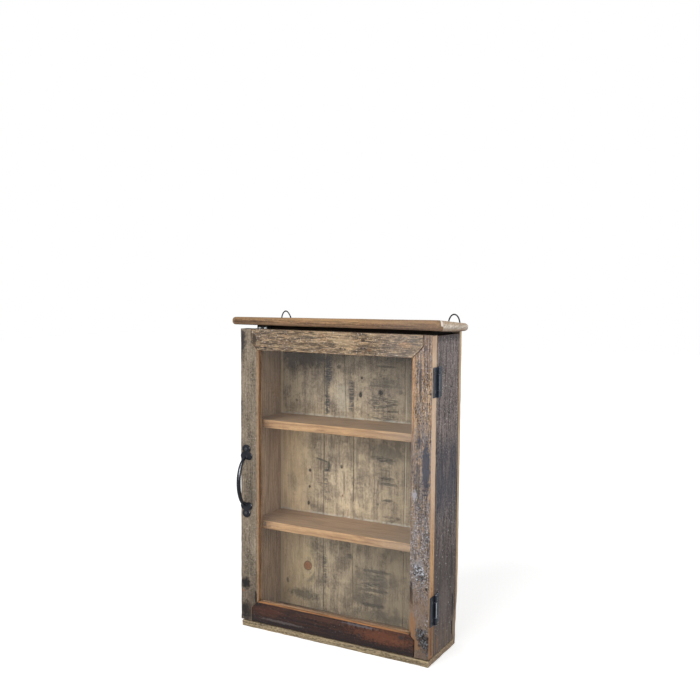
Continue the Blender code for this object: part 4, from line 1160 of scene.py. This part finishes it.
PLANS = {
    "side_panel_left": Plan(paint_side, 1, "z", (3, 2, 7), grooves=1.2, shaping=round_foot),
    "side_panel_right": Plan(paint_side, 2, "z", (3, 2, 7), grooves=1.2, shaping=round_foot),
    "bottom_board": Plan(paint_bottom, 3, "x", (6, 3, 2), grooves=1.3, arris=1.4, shaping=round_foot),
    "carcass_top": Plan(paint_carcass_top, 4, "x", (9, 6, 3), grooves=0.6, shaping=settle_back),
    "shelf_lower": Plan(paint_shelf, 5, "x", (8, 6, 3), grooves=0.4),
    "shelf_upper": Plan(paint_shelf, 6, "x", (8, 6, 3), grooves=0.4),
    **{f"back_plank_{k}": Plan(paint_plank, k + 6, "z", (4, 3, 10), sag=0.6, grooves=0.4,
                               shaping=shape_plank)
       for k in range(1, 5)},
    "top_board": Plan(paint_top, 12, "x", (6, 3, 2), sag=1.6, grooves=0.7, arris=0.9, reach=4.0,
                      shaping=shape_top),
    "door_stile_left": Plan(paint_stile_left, 13, "z", (1.6, 3, 6), grooves=0.7, arris=1.1),
    "door_stile_right": Plan(paint_stile_right, 14, "z", (1.6, 3, 6), sag=1.3, grooves=2.4, arris=1.4),
    "door_rail_top": Plan(paint_rail_top, 15, "x", (6, 3, 1.6), grooves=1.8, arris=1.2,
                          shaping=close_joint),
    "door_rail_bottom": Plan(paint_rail_bottom, 16, "x", (6, 3, 1.6), grooves=0.9, arris=1.1),
    **{f"glazing_bead_{side}": Plan(paint_bead, seed, grain, steps, sag=0.4, grooves=0.4, arris=0.5,
                                    reach=1.5)
       for side, seed, grain, steps in (("left", 17, "z", (3, 3, 12)), ("right", 18, "z", (3, 3, 12)),
                                        ("top", 19, "x", (12, 3, 3)), ("bottom", 20, "x", (12, 3, 3)))},
}


def make_boards(context, *nodes):
    """Cuts each board into a grid, shapes it, wears it down and gives it its material."""
    for node in nodes:
        plan = PLANS[node]
        material = plan.paint(node, plan.seed)
        bm = welded(node)
        low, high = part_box(node)
        for axis, step in enumerate(plan.steps):
            slice_mesh(bm, axis, slice_places(low[axis], high[axis], step * MM))
        shape(bm, plan.shaping)
        wear_down(bm, plan.wear(context.scene.showcase.timber), plan.grain, plan.seed)
        add_piece(node + "_wood", bm, material, node)


# ---------------------------------------------------------------- metal and glass

def new_material(name):
    """A new material, its graph, the point on the piece, and that point's x, y and z."""
    material = bpy.data.materials.new(name)
    g = Graph(material)
    return material, g, *g.place()


def iron_material(name, colour, roughness, scale, rub, coat, bright):
    """Black japanned iron: a dark glossy coat over a casting skin, rubbed bright at edges where hands
    pass, with painted highlights on the pull and the hinges' knuckles, all read from the arris mask.
    """
    material, g, point, _ = new_material(name)
    skin = g.cloud(point, (1.1 * scale,) * 3, 3.0, 0.6)
    broad = g.cloud(point, (9 * scale,) * 3, 2.0)
    edge = g.node("ShaderNodeAttribute", {"attribute_name": "arris"}, output=2)
    # rubbed: real edge wear and the painted highlights, both read from the arris mask
    rubbed = (edge + (skin - 0.5) * 0.9 + (broad - 0.5) * 0.8).rise(0.55, 1.0) * rub
    dull = g.mix(broad.rise(0.35, 0.7) * 0.6, colour, tuple(c * 2.0 for c in colour))
    g.principled({"Base Color": g.mix(rubbed, dull, bright), "Metallic": rubbed * 0.6,
                  "Specular IOR Level": 0.04, "Coat Weight": coat * (1 - rubbed), "Coat Roughness": 0.12,
                  "Roughness": (skin - 0.5) * 0.25 + (broad - 0.5) * 0.2 + roughness,
                  "Normal": g.bump((skin - 0.5) * 0.12 * scale, 0.5)})
    return material


def steel_material(name, colour, roughness, brush):
    """Plated steel with fine brushing along one axis."""
    material, g, point, _ = new_material(name)
    lines = g.cloud(point, brush, 2.0)
    spots = g.cloud(point, (2.2, 2.2, 2.2), 3.0)
    tone = g.mix(spots.rise(0.5, 0.75) * 0.5, colour, tuple(c * 0.55 for c in colour))
    g.principled({"Base Color": tone, "Metallic": 0.9, "Roughness": (lines - 0.5) * 0.3 + roughness,
                  "Normal": g.bump((lines - 0.5) * 0.05, 0.6)})
    return material


def plastic_material(name, colour):
    """Moulded plastic with a fine grain and some dust."""
    material, g, point, _ = new_material(name)
    grain = g.cloud(point, (0.35, 0.35, 0.35), 2.0)
    dust = g.cloud(point, (6, 6, 6), 3.0)
    tone = g.mix(dust.rise(0.5, 0.8) * 0.35, colour, shade(92, 88, 84))
    g.principled({"Base Color": tone, "Roughness": (grain - 0.5) * 0.2 + 0.5,
                  "Normal": g.bump((grain - 0.5) * 0.06, 0.5)})
    return material


def glass_material(name, tint, dust_amount):
    """Clear float glass, which shows what is behind it, mirrors a little and holds dust at its rim."""
    material, g, point, (x, _, z) = new_material(name)
    facing = g.node("ShaderNodeLayerWeight", None, {"Blend": 0.5}, output=1)
    mirror = facing ** 5.0 * 0.9 + 0.013
    clear = g.node("ShaderNodeBsdfTransparent", None, {"Color": full(tint)})
    gloss = g.node("ShaderNodeBsdfGlossy", None, {"Roughness": 0.03})
    pane = g.node("ShaderNodeMixShader", None, {0: mirror, 1: clear, 2: gloss})
    low, high = corners("glass_pane")
    rim = (x - low.x).least(high.x - x).least(z - low.z).least(high.z - z).rise(34, 6)
    smear = g.cloud(point, (30, 30, 55), 3.0, 0.6)
    film = (rim * 0.35 + smear.rise(0.45, 0.75) * 0.5 + 0.25) * dust_amount
    dust = g.node("ShaderNodeBsdfDiffuse", None, {"Color": full(shade(214, 208, 198))})
    g.surface(g.node("ShaderNodeMixShader", None, {0: film, 1: pane, 2: dust}))
    return material


def finish_nodes(material, *nodes):
    """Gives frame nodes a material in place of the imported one."""
    for node in nodes:
        for slot in frame["nodes"][node].material_slots:
            slot.material = material


# ---------------------------------------------------------------- metal meshes

def bent_ring(point):
    """Pulls the left ring's arch in and down a little, as years on a nail do."""
    rise = clamp((point.z / MM - RING_LOW.z) / (RING_HIGH.z - RING_LOW.z) * 1.6 - 0.3)
    pull = (point.x / MM - RING_LOW.x) * RING_PULL
    return point - Vector((pull, 0, RING_DROP)) * (rise * MM)


def sharp_edges(bm, degrees):
    return [edge for edge in bm.edges
            if len(edge.link_faces) == 2 and edge.calc_face_angle(0.0) > math.radians(degrees)]


def mark_arrises(bm, reach):
    """Stores how near each vertex is to a sharp edge."""
    layer = bm.verts.layers.float.new("arris")
    rims = list({vert for edge in sharp_edges(bm, ARRIS_ANGLE) for vert in edge.verts})
    distances = distances_to(rims, bm) if rims else [reach] * len(bm.verts)
    for vert, distance in zip(bm.verts, distances):
        vert[layer] = clamp(1 - distance / reach)


def rounded_iron(node, material, ease, step=0.0, shaping=None):
    """Makes a piece with its sharp edges eased, cut into a grid where there is a step."""
    bm = welded(node)
    shape(bm, shaping)
    bm.normal_update()
    bmesh.ops.bevel(bm, geom=sharp_edges(bm, EASED_ANGLE), offset=ease * MM, offset_type="OFFSET",
                    segments=2, profile=0.5, affect="EDGES", clamp_overlap=True)
    low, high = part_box(node)
    for axis in range(3) if step else ():
        count = int((high[axis] - low[axis]) / (step * MM))
        slice_mesh(bm, axis, [low[axis] + step * MM * (k + 0.5) for k in range(count)])
    bm.normal_update()
    mark_arrises(bm, IRON_REACH * MM)
    # painted highlight on the knuckles
    if step:
        paint_knuckle_highlight(bm)
    add_piece(node + "_iron", bm, material, node, sharp=50.0)


def paint_knuckle_highlight(bm):
    """Paints a highlight on one side of the round of a hinge's knuckle, in the arris mask."""
    layer = bm.verts.layers.float["arris"]
    for vert in bm.verts:
        if min(abs(vert.normal.x), abs(vert.normal.y)) > 0.5:
            vert[layer] = max(vert[layer], clamp((vert.normal.dot(KNUCKLE_HIGHLIGHT_FACING) - 0.94) / 0.04))


def evaluated_mesh(piece):
    """A new bmesh of an object with its modifiers applied."""
    bpy.context.view_layer.update()
    source = piece.evaluated_get(bpy.context.evaluated_depsgraph_get())
    bm = bmesh.new()
    bm.from_mesh(source.to_mesh())
    source.to_mesh_clear()
    return bm


def scratch_object(name, bm):
    mesh = bpy.data.meshes.new(name)
    bm.to_mesh(mesh)
    bm.free()
    return link(name, mesh)


def remove(*pieces):
    for piece in pieces:
        bpy.data.objects.remove(piece)


def cast_iron(node, material, lumps, seed):
    """Makes a casting: corners melted together, the skin slightly uneven, and a painted highlight on the
    plates' rims and the bow stored in the arris mask.
    """
    raw = scratch_object(node + "_raw", welded(node))
    remesh = raw.modifiers.new("skin", "REMESH")
    remesh.mode = "VOXEL"
    remesh.voxel_size = CASTING_CELL * MM
    smooth = raw.modifiers.new("melt", "SMOOTH")
    smooth.factor = 0.5
    smooth.iterations = 4
    bm = evaluated_mesh(raw)
    remove(raw)
    bm.normal_update()
    offset = Vector((seed, seed * 2, seed * 3))
    layer = bm.verts.layers.float.new("arris")
    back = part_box(node)[1].y
    for vert in bm.verts:
        rough = noise.noise(vert.co / (LUMP * MM) + offset)
        rough += 0.5 * noise.noise(vert.co / (FINE_LUMP * MM) - offset)
        plate = back - vert.co.y < PLATE_DEPTH * MM
        # painted highlight: vertices facing the light's way are marked in the arris mask
        facing = vert.normal.dot(PLATE_HIGHLIGHT_FACING if plate else BOW_HIGHLIGHT_FACING)
        vert[layer] = clamp((facing - 0.92) / 0.07, 0.9)
        vert.co += vert.normal * (lumps * (rough - 0.6))
    add_piece(node + "_casting", bm, material, node, sharp=60.0)


def screw_frame(node):
    """A screw's head centre, its outward direction and its rim radius."""
    points = [vert.co.copy() for vert in frame["nodes"][node].data.vertices]
    low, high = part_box(node)
    axis = max(range(3), key=lambda k: (high - low)[k])
    middle = (low + high) / 2
    across = [k for k in range(3) if k != axis]
    widths = []
    for end in (low[axis], high[axis]):
        near = [point for point in points if abs(point[axis] - end) < 0.2 * (high - low)[axis]]
        widths.append(max(math.dist([point[k] for k in across], [middle[k] for k in across])
                          for point in near))
    at_low = widths[0] > widths[1]
    outward = Vector((0.0, 0.0, 0.0))
    outward[axis] = -1.0 if at_low else 1.0
    centre = middle.copy()
    centre[axis] = low[axis] if at_low else high[axis]
    return centre, outward, max(widths)


def turned(profile, sides):
    """A solid turned round Z from (radius, height) points that start and end on the axis."""
    bm = bmesh.new()
    rings = []
    for radius, height in profile:
        count = sides if radius else 1
        rings.append([bm.verts.new((radius * math.cos(2 * math.pi * k / sides),
                                    radius * math.sin(2 * math.pi * k / sides), height))
                      for k in range(count)])
    for first, second in zip(rings, rings[1:]):
        for k in range(sides):
            face = [first[k % len(first)], first[(k + 1) % len(first)],
                    second[(k + 1) % len(second)], second[k % len(second)]]
            bm.faces.new(list(dict.fromkeys(face)))
    bmesh.ops.recalc_face_normals(bm, faces=bm.faces[:])
    return bm


def slotted_screw(node, material, turn):
    """Makes a screw with a domed head and a slot, standing for the frame's plain one."""
    centre, outward, rim = screw_frame(node)
    low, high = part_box(node)
    length = max(high - low)
    dome = 0.16 * rim
    shank = 0.5 * rim
    crown = [(rim * math.sin(math.pi / 2 * k / CROWN_STEPS),
              dome * math.cos(math.pi / 2 * k / CROWN_STEPS) - dome) for k in range(CROWN_STEPS + 1)]
    lip = (rim * 0.97, -dome - 0.12 * rim)
    neck = (shank, -dome - 0.55 * rim)
    taper = (shank, -length + 1.2 * rim)
    tip = (0.0, -length + 0.1 * rim)
    solid = scratch_object(node + "_raw", turned([*crown, lip, neck, taper, tip], SCREW_SIDES))
    bm = bmesh.new()
    slot = Matrix.Diagonal((*(side * rim for side in SLOT_SIZE), 1))
    bmesh.ops.create_cube(bm, size=1.0, matrix=Matrix.Translation((0, 0, -SLOT_DROP * rim)) @ slot)
    cutter = scratch_object(node + "_slot", bm)
    cut = solid.modifiers.new("slot", "BOOLEAN")
    cut.operation = "DIFFERENCE"
    cut.object = cutter
    cut.solver = "EXACT"
    bm = evaluated_mesh(solid)
    remove(solid, cutter)
    stand = outward.to_track_quat("Z", "Y").to_matrix().to_4x4()
    bm.transform(Matrix.Translation(centre) @ stand @ Matrix.Rotation(turn, 4, "Z"))
    bm.normal_update()
    mark_arrises(bm, SCREW_REACH * MM)
    add_piece(node + "_slotted", bm, material, node, sharp=30.0)


# ---------------------------------------------------------------- sizes and colours to change

class ShowcaseTimberSettings(bpy.types.PropertyGroup):
    """How worn the boards are."""
    arris_wear: FloatProperty(
        name="Arris wear", description="How far the edges of the boards are rubbed back",
        default=0.0006, min=0.0, max=0.002, unit="LENGTH", precision=5)
    groove_depth: FloatProperty(
        name="Open grain", description="Depth of the grooves between the hard grain lines",
        default=0.00022, min=0.0, max=0.001, unit="LENGTH", precision=5)
    face_wave: FloatProperty(
        name="Face wave", description="How far a board's face waves in and out",
        default=0.00025, min=0.0, max=0.001, unit="LENGTH", precision=5)


class ShowcaseMetalSettings(bpy.types.PropertyGroup):
    """The iron and steel parts."""
    iron_colour: FloatVectorProperty(
        name="Iron", description="Colour of the pull, hinges and hangers",
        default=(0.009, 0.0105, 0.014), subtype="COLOR", min=0.0, max=1.0)
    iron_roughness: FloatProperty(
        name="Iron roughness", description="How dull the black iron is",
        default=0.34, min=0.0, max=1.0, subtype="FACTOR")
    screw_colour: FloatVectorProperty(
        name="Screws", description="Colour of the screws",
        default=(0.060, 0.060, 0.064), subtype="COLOR", min=0.0, max=1.0)
    zinc_colour: FloatVectorProperty(
        name="Zinc", description="Colour of the catch's pole plates and striker",
        default=(0.56, 0.57, 0.58), subtype="COLOR", min=0.0, max=1.0)
    casting_relief: FloatProperty(
        name="Casting relief", description="Height of the lumps in the pull's skin",
        default=0.00006, min=0.0, max=0.0005, unit="LENGTH", precision=5)


class ShowcaseGlassSettings(bpy.types.PropertyGroup):
    """The door's pane."""
    tint: FloatVectorProperty(
        name="Tint", description="Colour of the light that comes through the pane",
        default=(0.975, 0.985, 0.98), subtype="COLOR", min=0.0, max=1.0)
    dust: FloatProperty(
        name="Dust", description="How much dust lies on the pane",
        default=0.015, min=0.0, max=1.0, subtype="FACTOR")


class ShowcaseStageSettings(bpy.types.PropertyGroup):
    """The floor, the lights and the camera."""
    floor_size: FloatProperty(
        name="Floor size", description="Side of the square floor", default=14.0, min=1.0,
        unit="LENGTH")
    floor_colour: FloatVectorProperty(
        name="Floor colour", description="Colour of the floor", default=(0.80, 0.80, 0.80),
        subtype="COLOR", min=0.0, max=1.0)
    floor_lift: FloatProperty(
        name="Floor lift", default=0.48, min=0.0, max=1.0,
        description="Light that the floor gives to the camera, so that it shows white")
    ambient: FloatProperty(
        name="Ambient", description="Strength of the light from all round",
        default=0.50, min=0.0, max=2.0)
    key_strength: FloatProperty(
        name="Key strength", description="Strength of the soft light from the front left",
        default=1.9, min=0.0)
    fill_strength: FloatProperty(
        name="Fill strength", description="Strength of the soft light from the right",
        default=0.6, min=0.0)
    softbox_power: FloatProperty(
        name="Softbox power", description="Power of the lamp that glints in the iron", default=5.0,
        min=0.0, unit="POWER")
    camera_place: FloatVectorProperty(
        name="Camera place", description="Where the camera stands", default=(0.7606, -1.4474, 0.3572),
        subtype="TRANSLATION", unit="LENGTH")
    camera_turn: FloatVectorProperty(
        name="Camera turn", description="Yaw, pitch and roll of the camera",
        default=(math.radians(28.69), math.radians(-4.3), math.radians(-0.41)), subtype="EULER",
        unit="ROTATION")
    camera_lens: FloatProperty(
        name="Lens", description="Focal length on a 36 mm wide sensor", default=45.74, min=10.0,
        unit="CAMERA")


class ShowcaseSettings(bpy.types.PropertyGroup):
    """All the settings of the showcase."""
    timber: PointerProperty(type=ShowcaseTimberSettings)
    metal: PointerProperty(type=ShowcaseMetalSettings)
    glass: PointerProperty(type=ShowcaseGlassSettings)
    stage: PointerProperty(type=ShowcaseStageSettings)


# ---------------------------------------------------------------- operators

class SHOWCASE_OT_case(bpy.types.Operator):
    """Wear down and colour the two side panels, the bottom board and the carcass top"""
    bl_idname = "showcase.case"
    bl_label = "Case"
    bl_options = {"REGISTER", "UNDO"}

    def execute(self, context):
        make_boards(context, "side_panel_left", "side_panel_right", "bottom_board", "carcass_top")
        return {"FINISHED"}


class SHOWCASE_OT_shelves(bpy.types.Operator):
    """Wear down and colour the two shelves"""
    bl_idname = "showcase.shelves"
    bl_label = "Shelves"
    bl_options = {"REGISTER", "UNDO"}

    def execute(self, context):
        make_boards(context, "shelf_lower", "shelf_upper")
        return {"FINISHED"}


class SHOWCASE_OT_back(bpy.types.Operator):
    """Wear down and colour the planks of the back"""
    bl_idname = "showcase.back"
    bl_label = "Back planks"
    bl_options = {"REGISTER", "UNDO"}

    def execute(self, context):
        make_boards(context, "back_plank_1", "back_plank_2", "back_plank_3", "back_plank_4")
        return {"FINISHED"}


class SHOWCASE_OT_top(bpy.types.Operator):
    """Wear down and colour the round-nosed top board"""
    bl_idname = "showcase.top"
    bl_label = "Top board"
    bl_options = {"REGISTER", "UNDO"}

    def execute(self, context):
        make_boards(context, "top_board")
        return {"FINISHED"}


class SHOWCASE_OT_door(bpy.types.Operator):
    """Wear down and colour the stiles, rails and glazing beads of the door"""
    bl_idname = "showcase.door"
    bl_label = "Door"
    bl_options = {"REGISTER", "UNDO"}

    def execute(self, context):
        make_boards(context, "door_stile_left", "door_stile_right", "door_rail_top", "door_rail_bottom")
        make_boards(context, *(f"glazing_bead_{side}" for side in ("left", "right", "top", "bottom")))
        return {"FINISHED"}


class SHOWCASE_OT_glass(bpy.types.Operator):
    """Give the pane its glass"""
    bl_idname = "showcase.glass"
    bl_label = "Glass"
    bl_options = {"REGISTER", "UNDO"}

    def execute(self, context):
        glass = context.scene.showcase.glass
        finish_nodes(glass_material("float_glass", tuple(glass.tint), glass.dust), "glass_pane")
        return {"FINISHED"}


class SHOWCASE_OT_hinges(bpy.types.Operator):
    """Ease and blacken the leaves and pins of the butt hinges"""
    bl_idname = "showcase.hinges"
    bl_label = "Hinges"
    bl_options = {"REGISTER", "UNDO"}

    def execute(self, context):
        metal = context.scene.showcase.metal
        for place, (tints, coat, edge_rubs_and_highlights) in HINGE_FINISHES.items():
            blued = tuple(c * tint for c, tint in zip(metal.iron_colour, tints))
            for part, rub in zip(("door_leaf", "case_leaf", "pin"), edge_rubs_and_highlights):
                node = f"hinge_{place}_{part}"
                iron = iron_material(node + "_black", blued, metal.iron_roughness, scale=0.7, rub=rub,
                                     coat=coat, bright=shade(168, 174, 184))
                rounded_iron(node, iron, LEAF_EASE, KNUCKLE_STEP)
        return {"FINISHED"}


class SHOWCASE_OT_pull(bpy.types.Operator):
    """Cast the pull handle with its trefoil plates"""
    bl_idname = "showcase.pull"
    bl_label = "Pull handle"
    bl_options = {"REGISTER", "UNDO"}

    def execute(self, context):
        metal = context.scene.showcase.metal
        # rub and bright here set the strength and colour of the pull's painted highlight
        iron = iron_material("pull_iron", tuple(metal.iron_colour), metal.iron_roughness, scale=1.4,
                             rub=0.8, coat=0.16, bright=shade(214, 220, 232))
        cast_iron("pull_handle", iron, metal.casting_relief, seed=21)
        return {"FINISHED"}


class SHOWCASE_OT_catch(bpy.types.Operator):
    """Finish the magnetic catch and its striker"""
    bl_idname = "showcase.catch"
    bl_label = "Catch"
    bl_options = {"REGISTER", "UNDO"}

    def execute(self, context):
        metal = context.scene.showcase.metal
        zinc = steel_material("zinc_plate", tuple(metal.zinc_colour), roughness=0.3,
                              brush=(8, 0.3, 0.3))
        finish_nodes(zinc, "catch_pole_left", "catch_pole_right", "striker_plate")
        finish_nodes(plastic_material("catch_shell", shade(34, 34, 36)), "catch_case")
        return {"FINISHED"}


class SHOWCASE_OT_hangers(bpy.types.Operator):
    """Blacken the hangers' straps and wire rings"""
    bl_idname = "showcase.hangers"
    bl_label = "Hangers"
    bl_options = {"REGISTER", "UNDO"}

    def execute(self, context):
        metal = context.scene.showcase.metal
        iron = iron_material("hanger_iron", tuple(metal.iron_colour), metal.iron_roughness, scale=0.6,
                             rub=0.1, coat=0.1, bright=shade(150, 156, 164))
        for side, shaping in (("left", bent_ring), ("right", None)):
            rounded_iron(f"hanger_strap_{side}", iron, LEAF_EASE)
            rounded_iron(f"hanger_ring_{side}", iron, WIRE_EASE, shaping=shaping)
        return {"FINISHED"}


class SHOWCASE_OT_screws(bpy.types.Operator):
    """Give every screw a domed head with a slot"""
    bl_idname = "showcase.screws"
    bl_label = "Screws"
    bl_options = {"REGISTER", "UNDO"}

    def execute(self, context):
        metal = context.scene.showcase.metal
        steel = steel_material("screw_steel", tuple(metal.screw_colour), roughness=0.42,
                               brush=(0.5, 0.5, 0.5))
        nodes = sorted(row["node"] for row in frame["record"]["subparts"]
                       if row["material_slot"] == "screw_steel")
        for index, node in enumerate(nodes):
            slotted_screw(node, steel, math.radians(NEXT_TURN * index + FIRST_TURN))
        return {"FINISHED"}


class SHOWCASE_OT_stage(bpy.types.Operator):
    """Add the pale floor, the soft lamps, the white surroundings and the camera"""
    bl_idname = "showcase.stage"
    bl_label = "Stage"
    bl_options = {"REGISTER", "UNDO"}

    def execute(self, context):
        stage = context.scene.showcase.stage
        context.scene.view_settings.view_transform = "Standard"
        self.floor(stage)
        self.surroundings(stage)
        self.soft_sun("key", stage.key_strength, azimuth=-14, elevation=27, spread=46)
        self.soft_sun("fill", stage.fill_strength, azimuth=58, elevation=16, spread=60)
        self.softbox("left_box", Vector((-1.0, -1.3, 0.7)), 0.35, stage.softbox_power)
        self.softbox("right_box", Vector((1.5, -0.5, 0.3)), 0.4, stage.softbox_power)
        self.camera(stage)
        return {"FINISHED"}

    def floor(self, stage):
        """The floor, which camera rays see lifted to white where no shadow falls."""
        bm = bmesh.new()
        bmesh.ops.create_grid(bm, x_segments=1, y_segments=1, size=stage.floor_size / 2)
        floor = scratch_object("floor", bm)
        floor.location.z = (FLOOR_LEVEL - FLOOR_GAP) * MM
        material = bpy.data.materials.new("floor")
        g = Graph(material)
        seen = self.seen_directly(g)
        lit = g.node("ShaderNodeBsdfDiffuse", None, {"Color": full(tuple(stage.floor_colour))})
        lift = g.node("ShaderNodeEmission", None, {"Strength": seen * stage.floor_lift})
        g.surface(g.node("ShaderNodeAddShader", None, {0: lit, 1: lift}))
        floor.data.materials.append(material)

    def surroundings(self, stage):
        """Even light from all round, which the camera, gloss and glass see as white."""
        world = bpy.data.worlds.new("studio")
        bpy.context.scene.world = world
        g = Graph(world)
        seen = self.seen_directly(g)
        light = g.node("ShaderNodeBackground", None, {"Strength": stage.ambient})
        white = g.node("ShaderNodeBackground", None, {"Strength": 1.0})
        for background in (light, white):
            background.socket.node.inputs["Color"].default_value = (1, 1, 1, 1)
        mixed = g.node("ShaderNodeMixShader", None, {0: seen, 1: light, 2: white})
        g.node("ShaderNodeOutputWorld", None, {"Surface": mixed})

    @staticmethod
    def ray_is(g, name):
        rays = [g.node("ShaderNodeLightPath", output=k) for k in range(7)]
        return next(ray for ray in rays if ray.socket.name == name)

    def seen_directly(self, g):
        """1 for rays from the camera, from gloss and through glass, and 0 for the light on things."""
        camera, gloss, through = (self.ray_is(g, f"Is {kind} Ray")
                                  for kind in ("Camera", "Glossy", "Transmission"))
        return camera.most(gloss).most(through)

    @staticmethod
    def soft_sun(name, strength, azimuth, elevation, spread):
        """Parallel light softened over a wide disc, from degrees right of the front and up."""
        data = bpy.data.lights.new(name, "SUN")
        data.angle = math.radians(spread)
        data.energy = strength
        turn, rise = math.radians(azimuth), math.radians(elevation)
        level = math.cos(rise)
        back = Vector((math.sin(turn) * level, -math.cos(turn) * level, math.sin(rise)))
        link(name, data).rotation_euler = (-back).to_track_quat("-Z", "Y").to_euler()

    @staticmethod
    def softbox(name, place, size, power):
        """A soft square lamp that faces the middle of the showcase."""
        data = bpy.data.lights.new(name, "AREA")
        data.size = size
        data.energy = power
        lamp = link(name, data)
        lamp.location = place
        lamp.rotation_euler = (-place).to_track_quat("-Z", "Y").to_euler()

    @staticmethod
    def camera(stage):
        """A camera that looks along +Y before its yaw, pitch and roll."""
        data = bpy.data.cameras.new("camera")
        data.sensor_width = SENSOR_WIDTH
        data.lens = stage.camera_lens
        camera = link("camera", data)
        yaw, pitch, roll = (Matrix.Rotation(angle, 3, axis)
                            for angle, axis in zip(stage.camera_turn, "ZXY"))
        upright = Matrix.Rotation(math.pi / 2, 3, "X")
        camera.matrix_world = (Matrix.Translation(stage.camera_place)
                               @ (yaw @ pitch @ roll @ upright).to_4x4())
        bpy.context.scene.camera = camera


OPERATORS = (SHOWCASE_OT_stage, SHOWCASE_OT_case, SHOWCASE_OT_shelves, SHOWCASE_OT_back,
             SHOWCASE_OT_top, SHOWCASE_OT_door, SHOWCASE_OT_glass, SHOWCASE_OT_hinges,
             SHOWCASE_OT_pull, SHOWCASE_OT_catch, SHOWCASE_OT_hangers, SHOWCASE_OT_screws)


class SHOWCASE_PT_panel(bpy.types.Panel):
    """Lists the showcase's settings and operators"""
    bl_idname = "SHOWCASE_PT_panel"
    bl_label = "Wall Showcase"
    bl_space_type = "VIEW_3D"
    bl_region_type = "UI"
    bl_category = "Showcase"

    def draw(self, context):
        settings = context.scene.showcase
        for group in (settings.timber, settings.metal, settings.glass, settings.stage):
            box = self.layout.box()
            for name in group.bl_rna.properties.keys():
                if name not in ("rna_type", "name"):
                    box.prop(group, name)
        for operator in OPERATORS:
            self.layout.operator(operator.bl_idname)


CLASSES = (ShowcaseTimberSettings, ShowcaseMetalSettings, ShowcaseGlassSettings,
           ShowcaseStageSettings, ShowcaseSettings, *OPERATORS, SHOWCASE_PT_panel)


def register():
    for cls in CLASSES:
        bpy.utils.register_class(cls)
    bpy.types.Scene.showcase = PointerProperty(type=ShowcaseSettings)


def unregister():
    del bpy.types.Scene.showcase
    for cls in reversed(CLASSES):
        bpy.utils.unregister_class(cls)


def main():
    register()
    for operator in OPERATORS:
        module, name = operator.bl_idname.split(".")
        getattr(getattr(bpy.ops, module), name)()


if __name__ == "__main__":
    main()
